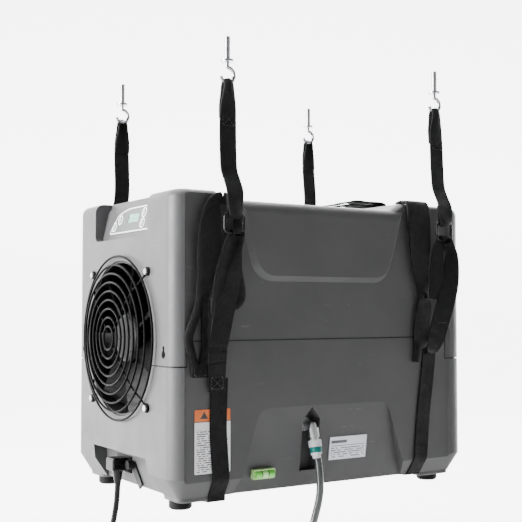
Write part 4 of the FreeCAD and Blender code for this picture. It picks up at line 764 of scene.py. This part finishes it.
LEFT_LEG = [(-194.8, -169.8, 160, 25, 0), (-195.2, -171.0, 177, 26, 0), (-197, -176, 198, 27, 0),
            (-199, -181, 218, 28, 0), (-197.5, -185, 239, 29, -4), (-194.5, -187, 260, 29, -8),
            (-189.5, -187.5, 284, 29, -12), (-184.5, -187.5, 307, 28, -16), (-181, -187.5, 328, 26, -18),
            (-178, -187.5, 349, 22, -16), (-175, -188.5, 362, 19, -10), (-174, -191.5, 370, 17, 0),
            (-174, -193, 373.5, 17, 0), (-175, -190, 377.5, 17, 0), (-178, -186.5, 374, 18, 0),
            (-184, -184.5, 352, 20, 8), (-190.5, -183.8, 328, 22, 8), (-196, -183.5, 304, 22, 8),
            (-200, -182.5, 280, 20, 4), (-202, -181, 262, 18, 0)]
RIGHT_LEG = [(168, -180.5, 214, 20, 0), (172, -182.5, 206.5, 22, 0), (175.5, -186.5, 212, 27, 0),
             (182.5, -188, 228, 33, 0), (193, -188, 256, 33, -4), (203, -188, 282, 33, -8),
             (210.5, -188, 305, 32, -10), (214.5, -188, 329, 28, -14), (215, -188.5, 353, 22, -16),
             (210, -189.5, 367, 18, -8), (204, -192, 375, 17, 0), (202, -193.3, 378.5, 17, 0),
             (200, -190, 382.5, 17, 0), (197, -186.5, 378, 18, 0), (191, -184.8, 362, 22, 4),
             (188.5, -184.3, 332, 25, 4), (186.5, -183.8, 306, 24, 2), (184, -182.5, 286, 22, 0)]
LEFT_HANG = [(-177, -184.8, 424, 24, 0), (-177.5, -186.4, 408, 22, 0), (-178, -187.2, 398, 20, 0),
             (-178.5, -190, 395.0, 20, 0), (-178.5, -192.8, 399, 20, 0), (-178, -190.6, 410, 23, 0),
             (-177, -187.6, 430, 26, 0), (-177.5, -181, 445, 26, 0), (-178.5, -174.5, 460, 26, 0),
             (-179, -173.2, 480, 26, 0), (-180, -173.4, 520, 26, 0), (-180, -174.2, 548, 24, 0),
             (-180, -175.8, 566, 18, 0), (-180, -175.6, 578, 15, 0), (-180, -172, 583.6, 14, 0),
             (-180, -168.4, 578, 15, 0), (-180, -168.8, 566, 18, 0), (-180, -170.4, 548, 24, 0),
             (-180, -171.2, 530, 25, 0)]
RIGHT_HANG = [(203, -184.8, 430, 26, 0), (201, -186.4, 414, 23, 0), (200, -187.2, 403, 20, 0),
              (199.5, -190, 400.2, 20, 0), (199.5, -192.8, 404, 20, 0), (201, -190.6, 415, 26, 0),
              (203.5, -187.2, 430, 27, 0), (203.5, -180, 445, 26, 0), (202.5, -174.5, 460, 26, 0),
              (201.5, -173.2, 480, 26, 0), (199, -173.4, 520, 26, 0), (197.5, -174.2, 548, 24, 0),
              (197, -175.8, 566, 18, 0), (197, -175.6, 578, 15, 0), (197, -172, 583.6, 14, 0),
              (197, -168.4, 578, 15, 0), (197, -168.8, 566, 18, 0), (197, -170.4, 548, 24, 0),
              (198, -171.2, 530, 25, 0)]
LEFT_HANDLE = [(-219, -172.5, 279, 17, 0), (-218, -174, 293, 22, 0), (-213, -175, 311, 29, 0),
               (-210.5, -175.5, 334, 34, 0), (-209, -175.5, 361, 36, 0), (-208, -176, 386, 33, 0),
               (-206, -177, 405, 26, 0), (-200, -177.5, 417, 19, 0), (-189, -177.5, 421, 16, 0),
               (-175, -177, 414, 15, 0), (-165.5, -176, 398, 16, 0), (-163, -175.5, 376, 18, 0),
               (-167, -175.2, 352, 18, 0), (-168, -175, 334, 17, 0), (-163.5, -174.5, 314, 16, 0),
               (-159, -173.5, 296, 15, 0), (-158.5, -172.5, 284, 13, 0), (-164, -171.5, 276, 11, 0),
               (-172, -170.5, 274, 10, 0)]
LEFT_HANDLE_LEGS = [[(-220.5, -173.5, 292, 13, 0), (-226, -171.5, 268, 13, 0), (-233.5, -169.5, 245, 13, 0),
                     (-237, -168.6, 230, 13, 0), (-231, -167.6, 208, 12, 0), (-224, -167.2, 184, 13, 0)],
                    [(-217, -173.5, 288, 13, 0), (-213, -171.5, 262, 13, 0), (-212, -169.5, 240, 13, 0),
                     (-211.5, -168.8, 226, 13, 0), (-213, -167.8, 206, 13, 0), (-216.5, -167.4, 184, 14, 0)]]
RIGHT_HANDLE = [(171, -172.5, 288, 19, 0), (168.5, -173.5, 305, 24, 0), (165, -174.5, 329, 32, 0),
                (162.5, -175, 352, 38, 0), (161.5, -175.2, 378, 43, 0), (161, -175, 404, 45, 0),
                (161.5, -173.5, 424, 44, 0), (162, -168.5, 435.5, 43, 0), (163, -158, 437.5, 42, 0),
                (165, -140, 436.5, 40, 0)]
RIGHT_HANDLE_LEG = [(172, -173.5, 296, 20, 0), (172.5, -172.8, 281, 27, 0), (170.5, -171.6, 258, 31, 0),
                    (166.5, -170, 230, 30, 0), (161, -168.8, 206, 16, 0), (159, -168, 190, 15, 0)]

LEFT_HANDLE_PATCH = [(-219.5, -168.8, 198, 24, 0), (-219.8, -169.2, 190, 25, 0), (-220, -168.8, 180, 25, 0)]


def make_slings(material):
    """The two slings, from their sewn ends on the front, under the case, to the rear."""
    mesh = bmesh.new()
    strip(mesh, sling_line(-192.2, 0.02, 12.0, 178.0, 9.0), steps=4, seed=1)
    strip(mesh, sling_line(160.0, 0.14, 18.0, 204.0, 4.0), steps=4, seed=2)
    finish_piece("SlingStraps", mesh, "webbing", material, "slings")


def make_corner_webbing(material, handle_material, thread, steel):
    """The tabs, rings, hanging straps and carry handles at the case's four corners, with their stitches."""
    legs, hangs, rings, thread_mesh = (bmesh.new() for _ in range(4))
    front, rear, anchors, eyes = (bmesh.new() for _ in range(4))
    for mirror, handles in ((1, front), (-1, rear)):
        strip(legs, LEFT_LEG, mirror=mirror, seed=3)
        strip(legs, RIGHT_LEG, mirror=mirror, seed=4)
        strip(hangs, LEFT_HANG, mirror=mirror, steps=4, seed=5)
        strip(hangs, RIGHT_HANG, mirror=mirror, steps=4, seed=6)
        for centre in (LEFT_RING, RIGHT_RING):
            outline = rounded_loop(centre, RING_SIZE[0] - 2 * RING_WIRE, RING_SIZE[1] - 2 * RING_WIRE, 5.0)
            wire_loop(rings, outline, RING_WIRE, mirror)
        strip(handles, LEFT_HANDLE, thick=6.0, mirror=mirror, seed=7)
        for leg in LEFT_HANDLE_LEGS:
            strip(anchors, leg, mirror=mirror, seed=8)
        strip(handles, RIGHT_HANDLE, thick=3.2, mirror=mirror, seed=9)
        strip(anchors, RIGHT_HANDLE_LEG, mirror=mirror, seed=10)
        strip(anchors, LEFT_HANDLE_PATCH, mirror=mirror, seed=11)
        wire_loop(eyes, rounded_loop((-205, -178.5, 286), 9, 13, 4), 1.1, mirror, 8)
        wire_loop(eyes, rounded_loop((171.5, -176.5, 291), 9, 10, 4.4), 1.1, mirror, 8)
        box_stitch(thread_mesh, (-195.4, -173.0, 172), 18, 16, mirror)
        box_stitch(thread_mesh, (-220, -170.7, 188), 18, 12, mirror)
        for x, z in ((-179.5, 530), (199, 530)):
            box_stitch(thread_mesh, (x, -175.0, z), 18, 18, mirror)
        stitch(thread_mesh, (183, -189.8, 250), (206, -189.8, 250), mirror=mirror)
        stitch(thread_mesh, (-186, -190.2, 409), (-170, -190.2, 409), mirror=mirror)
    finish_piece("SlingLegs", legs, "webbing", material, "sling_tabs")
    finish_piece("HangingStraps", hangs, "webbing", material, "hanging_straps")
    finish_piece("StrapRings", rings, "ring_steel", steel, "strap_rings", sharp=False)
    finish_piece("FrontHandles", front, "webbing", handle_material, "front_handles")
    finish_piece("RearHandles", rear, "webbing", handle_material, "rear_handles")
    finish_piece("HandleAnchors", anchors, "webbing", material, "handle_anchors")
    finish_piece("HandleEyes", eyes, "ring_steel", steel, sharp=False)
    finish_piece("Stitching", thread_mesh, "webbing", thread, sharp=False)


def make_spare_webbing(material):
    """The slings' spare length, folded to and fro on the case's top."""
    mesh = bmesh.new()
    path = [(84, 424.8), (110, 425.6), (130, 433.0), (150, 435.6), (195, 435.8), (228, 436.4), (234, 439.4),
            (226, 442.2), (190, 440.6), (150, 440.2), (120, 434.6), (98, 430.6), (91, 433.2), (98, 436.6),
            (124, 440.0), (150, 446.0), (176, 446.4), (206, 445.0), (222, 446.6), (226, 449.8), (214, 452.4),
            (186, 451.0), (160, 451.6), (138, 447.6), (118, 443.4), (104, 441.4)]
    strip(mesh, [(x, 1.5 * math.sin(x / 31), z, 38, 0) for x, z in path], flat="Y", steps=4, seed=12)
    finish_piece("SpareWebbing", mesh, "webbing", material, "spare_webbing")


def thread_material():
    """Twisted black nylon thread."""
    nodes = Nodes("BlackThread", (0.03, 0.03, 0.032), 0.5)
    twist = nodes.noise(2500, 2)
    nodes.link(nodes.ramp(twist, 0.3, 0.7, (0.015, 0.015, 0.016), (0.06, 0.06, 0.063)), "Base Color")
    nodes.link(nodes.bump(twist, 0.5, 0.0002), "Normal")
    return nodes.material


def make_webbing(finishes):
    """Everything made of webbing: slings, tabs, straps, handles and the spare length on the top."""
    make_slings(finishes["webbing"])
    make_corner_webbing(finishes["webbing"], webbing_material("HandleWebbing"), thread_material(),
                        finishes["ring_steel"])
    make_spare_webbing(finishes["webbing"])


# ---------------------------------------------------------------- cords

CORD_ROUTE = [(-250.0, 25.0, 15.0), (-250.4, 25.3, -4.0), (-253.0, 26.3, -26.0), (-256.5, 28.0, -46.0),
              (-258.5, 30.5, -66.0), (-254.4, 33.0, -82.5), (-245.1, 35.5, -96.8), (-231.7, 37.5, -107.3),
              (-215.6, 39.0, -112.8), (-198.6, 39.4, -112.8)]
HOSE_ROUTE = [(-29.0, -171.5, 58.0), (-29.3, -178.0, 32.0), (-33.0, -181.0, 5.0), (-41.0, -180.0, -22.0),
              (-48.0, -178.0, -46.0), (-51.0, -175.5, -69.0), (-46.6, -173.0, -89.5), (-35.6, -170.8, -107.4),
              (-19.3, -169.0, -120.6), (0.5, -167.5, -127.6), (21.5, -166.5, -127.6)]
TURNS_A_ROW = (3, 4, 4, 3)
POINTS_A_TURN = 16
COIL_PITCH = 1.05
TIE_ANGLE = {"mains_cord": math.radians(24.2), "drain_hose": math.radians(19.0)}


def coil_slots(diameter):
    """Where the turns lie in the coil's bundle, row by row from the outside in."""
    pitch = COIL_PITCH * diameter
    slots = []
    for row, count in enumerate(TURNS_A_ROW):
        across = [((count - 1) / 2 - column) * pitch for column in range(count)]
        if row % 2:
            across.reverse()
        slots += [((1.5 - row) * pitch, y) for y in across]
    return slots


def coil_turns(centre, ring, diameter, beside, lift):
    """A hanging coil's turns, from its top round to the right, the last two turns easing out beside it."""
    slots = coil_slots(diameter)
    last = len(slots) * POINTS_A_TURN + POINTS_A_TURN // 4
    leaving = last - 2 * POINTS_A_TURN
    points = []
    for step in range(1, last + 1):
        turn, part = divmod(step, POINTS_A_TURN)
        here = Vector(slots[min(turn, len(slots) - 1)])
        there = Vector(slots[min(turn + 1, len(slots) - 1)])
        out, across = here.lerp(there, max(0.0, (part / POINTS_A_TURN - 0.5) / 0.5))
        ease = max(0.0, (step - leaving) / (last - leaving))
        ease = ease * ease * (3 - 2 * ease)
        across = across * (1 - ease) + beside * ease
        radius = (ring + out) * (1 - ease) * 1.02 + ring * ease
        angle = 2 * math.pi * step / POINTS_A_TURN
        height = radius * math.cos(angle) + lift * ease
        points.append(centre + Vector((radius * math.sin(angle), across, height)))
    return points


def make_cord(name, route, diameter, length, material, coil_node, end_piece, tie, **facts):
    """One lead from its exit to its end: the hanging stretch, then the coil's turns."""
    points = [case(*point) for point in route]
    low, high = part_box(coil_node)
    bundle = high[1] - low[1]
    ring = (high[0] - low[0] - bundle) / 2
    centre = (Vector(low) + Vector(high)) / 2
    end_low, end_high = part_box(end_piece)
    beside = (end_low[1] + end_high[1]) / 2 - centre.y
    line = points + coil_turns(centre, ring, diameter, beside, end_high[2] + 0.003 - centre.z)
    line.append(Vector((centre.x + ring, centre.y + beside, end_high[2] - 0.003)))
    curve = bpy.data.curves.new(name, "CURVE")
    curve.dimensions = "3D"
    curve.bevel_depth = diameter / 2
    curve.bevel_resolution = 4
    curve.resolution_u = 6
    curve.use_fill_caps = True
    spline = curve.splines.new("NURBS")
    spline.points.add(len(line) - 1)
    for point, spot in zip(spline.points, line):
        point.co = (*spot, 1)
    spline.order_u = 3
    spline.use_endpoint_u = True
    piece = bpy.data.objects.new(name, curve)
    bpy.context.scene.collection.objects.link(piece)
    use(piece, material)
    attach(piece, "root")
    return piece


def make_tie(name, node, angle, material):
    """A hook-and-loop band round a coil, drawn into an oval, with its loose tail."""
    low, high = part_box(node + "_coil")
    bundle = (high[1] - low[1]) / MM
    ring = (high[0] - low[0]) / MM / 2 - bundle / 2
    centre = (Vector(low) + Vector(high)) / 2
    middle_x = (centre.x - CENTRE_X) / MM + ring * math.sin(angle)
    middle_z = (centre.z - FLOOR_Z) / MM + ring * math.cos(angle)
    stations = []
    steps = 22
    for step in range(steps + 3):
        turn = 2 * math.pi * step / steps
        swell = 1.2 + (1.6 if step > steps - 2 else 0.0)
        y = centre.y / MM + 1.5 + (bundle / 2 + 2.6 + swell) * math.sin(turn)
        rise = (bundle / 2 + swell) * math.cos(turn)
        stations.append((middle_x + rise * math.sin(angle), y, middle_z + rise * math.cos(angle), 14.0, 0))
    mesh = bmesh.new()
    strip(mesh, stations, thick=1.5, steps=2, seed=13)
    return finish_piece(name, mesh, "tie", material, node + "_tie")


def make_cords(finishes):
    """The mains lead and the drain hose, each with the tie round its coil."""
    cord_tie = make_tie("CordTie", "mains_cord", TIE_ANGLE["mains_cord"], finishes["tie"])
    lead = make_cord("MainsLead", CORD_ROUTE, 0.0085, 4.5, finishes["cord"], "mains_cord_coil", "mains_plug",
                     cord_tie, far_end="plug", stiffness="medium", lay="hanging")
    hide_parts("mains_cord", "mains_cord_coil")
    hose_tie = make_tie("HoseTie", "drain_hose", TIE_ANGLE["drain_hose"], finishes["tie"])
    hose = make_cord("DrainHose", HOSE_ROUTE, 0.011, 6.0, finishes["hose"], "drain_hose_coil", "hose_end",
                     hose_tie, far_end="fitting", stiffness="stiff", lay="hanging")
    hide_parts("drain_hose", "drain_hose_coil")


finishes = make_finishes()
paint_cad(finishes)
make_camera()
make_cords(finishes)
make_webbing(finishes)
make_studio()
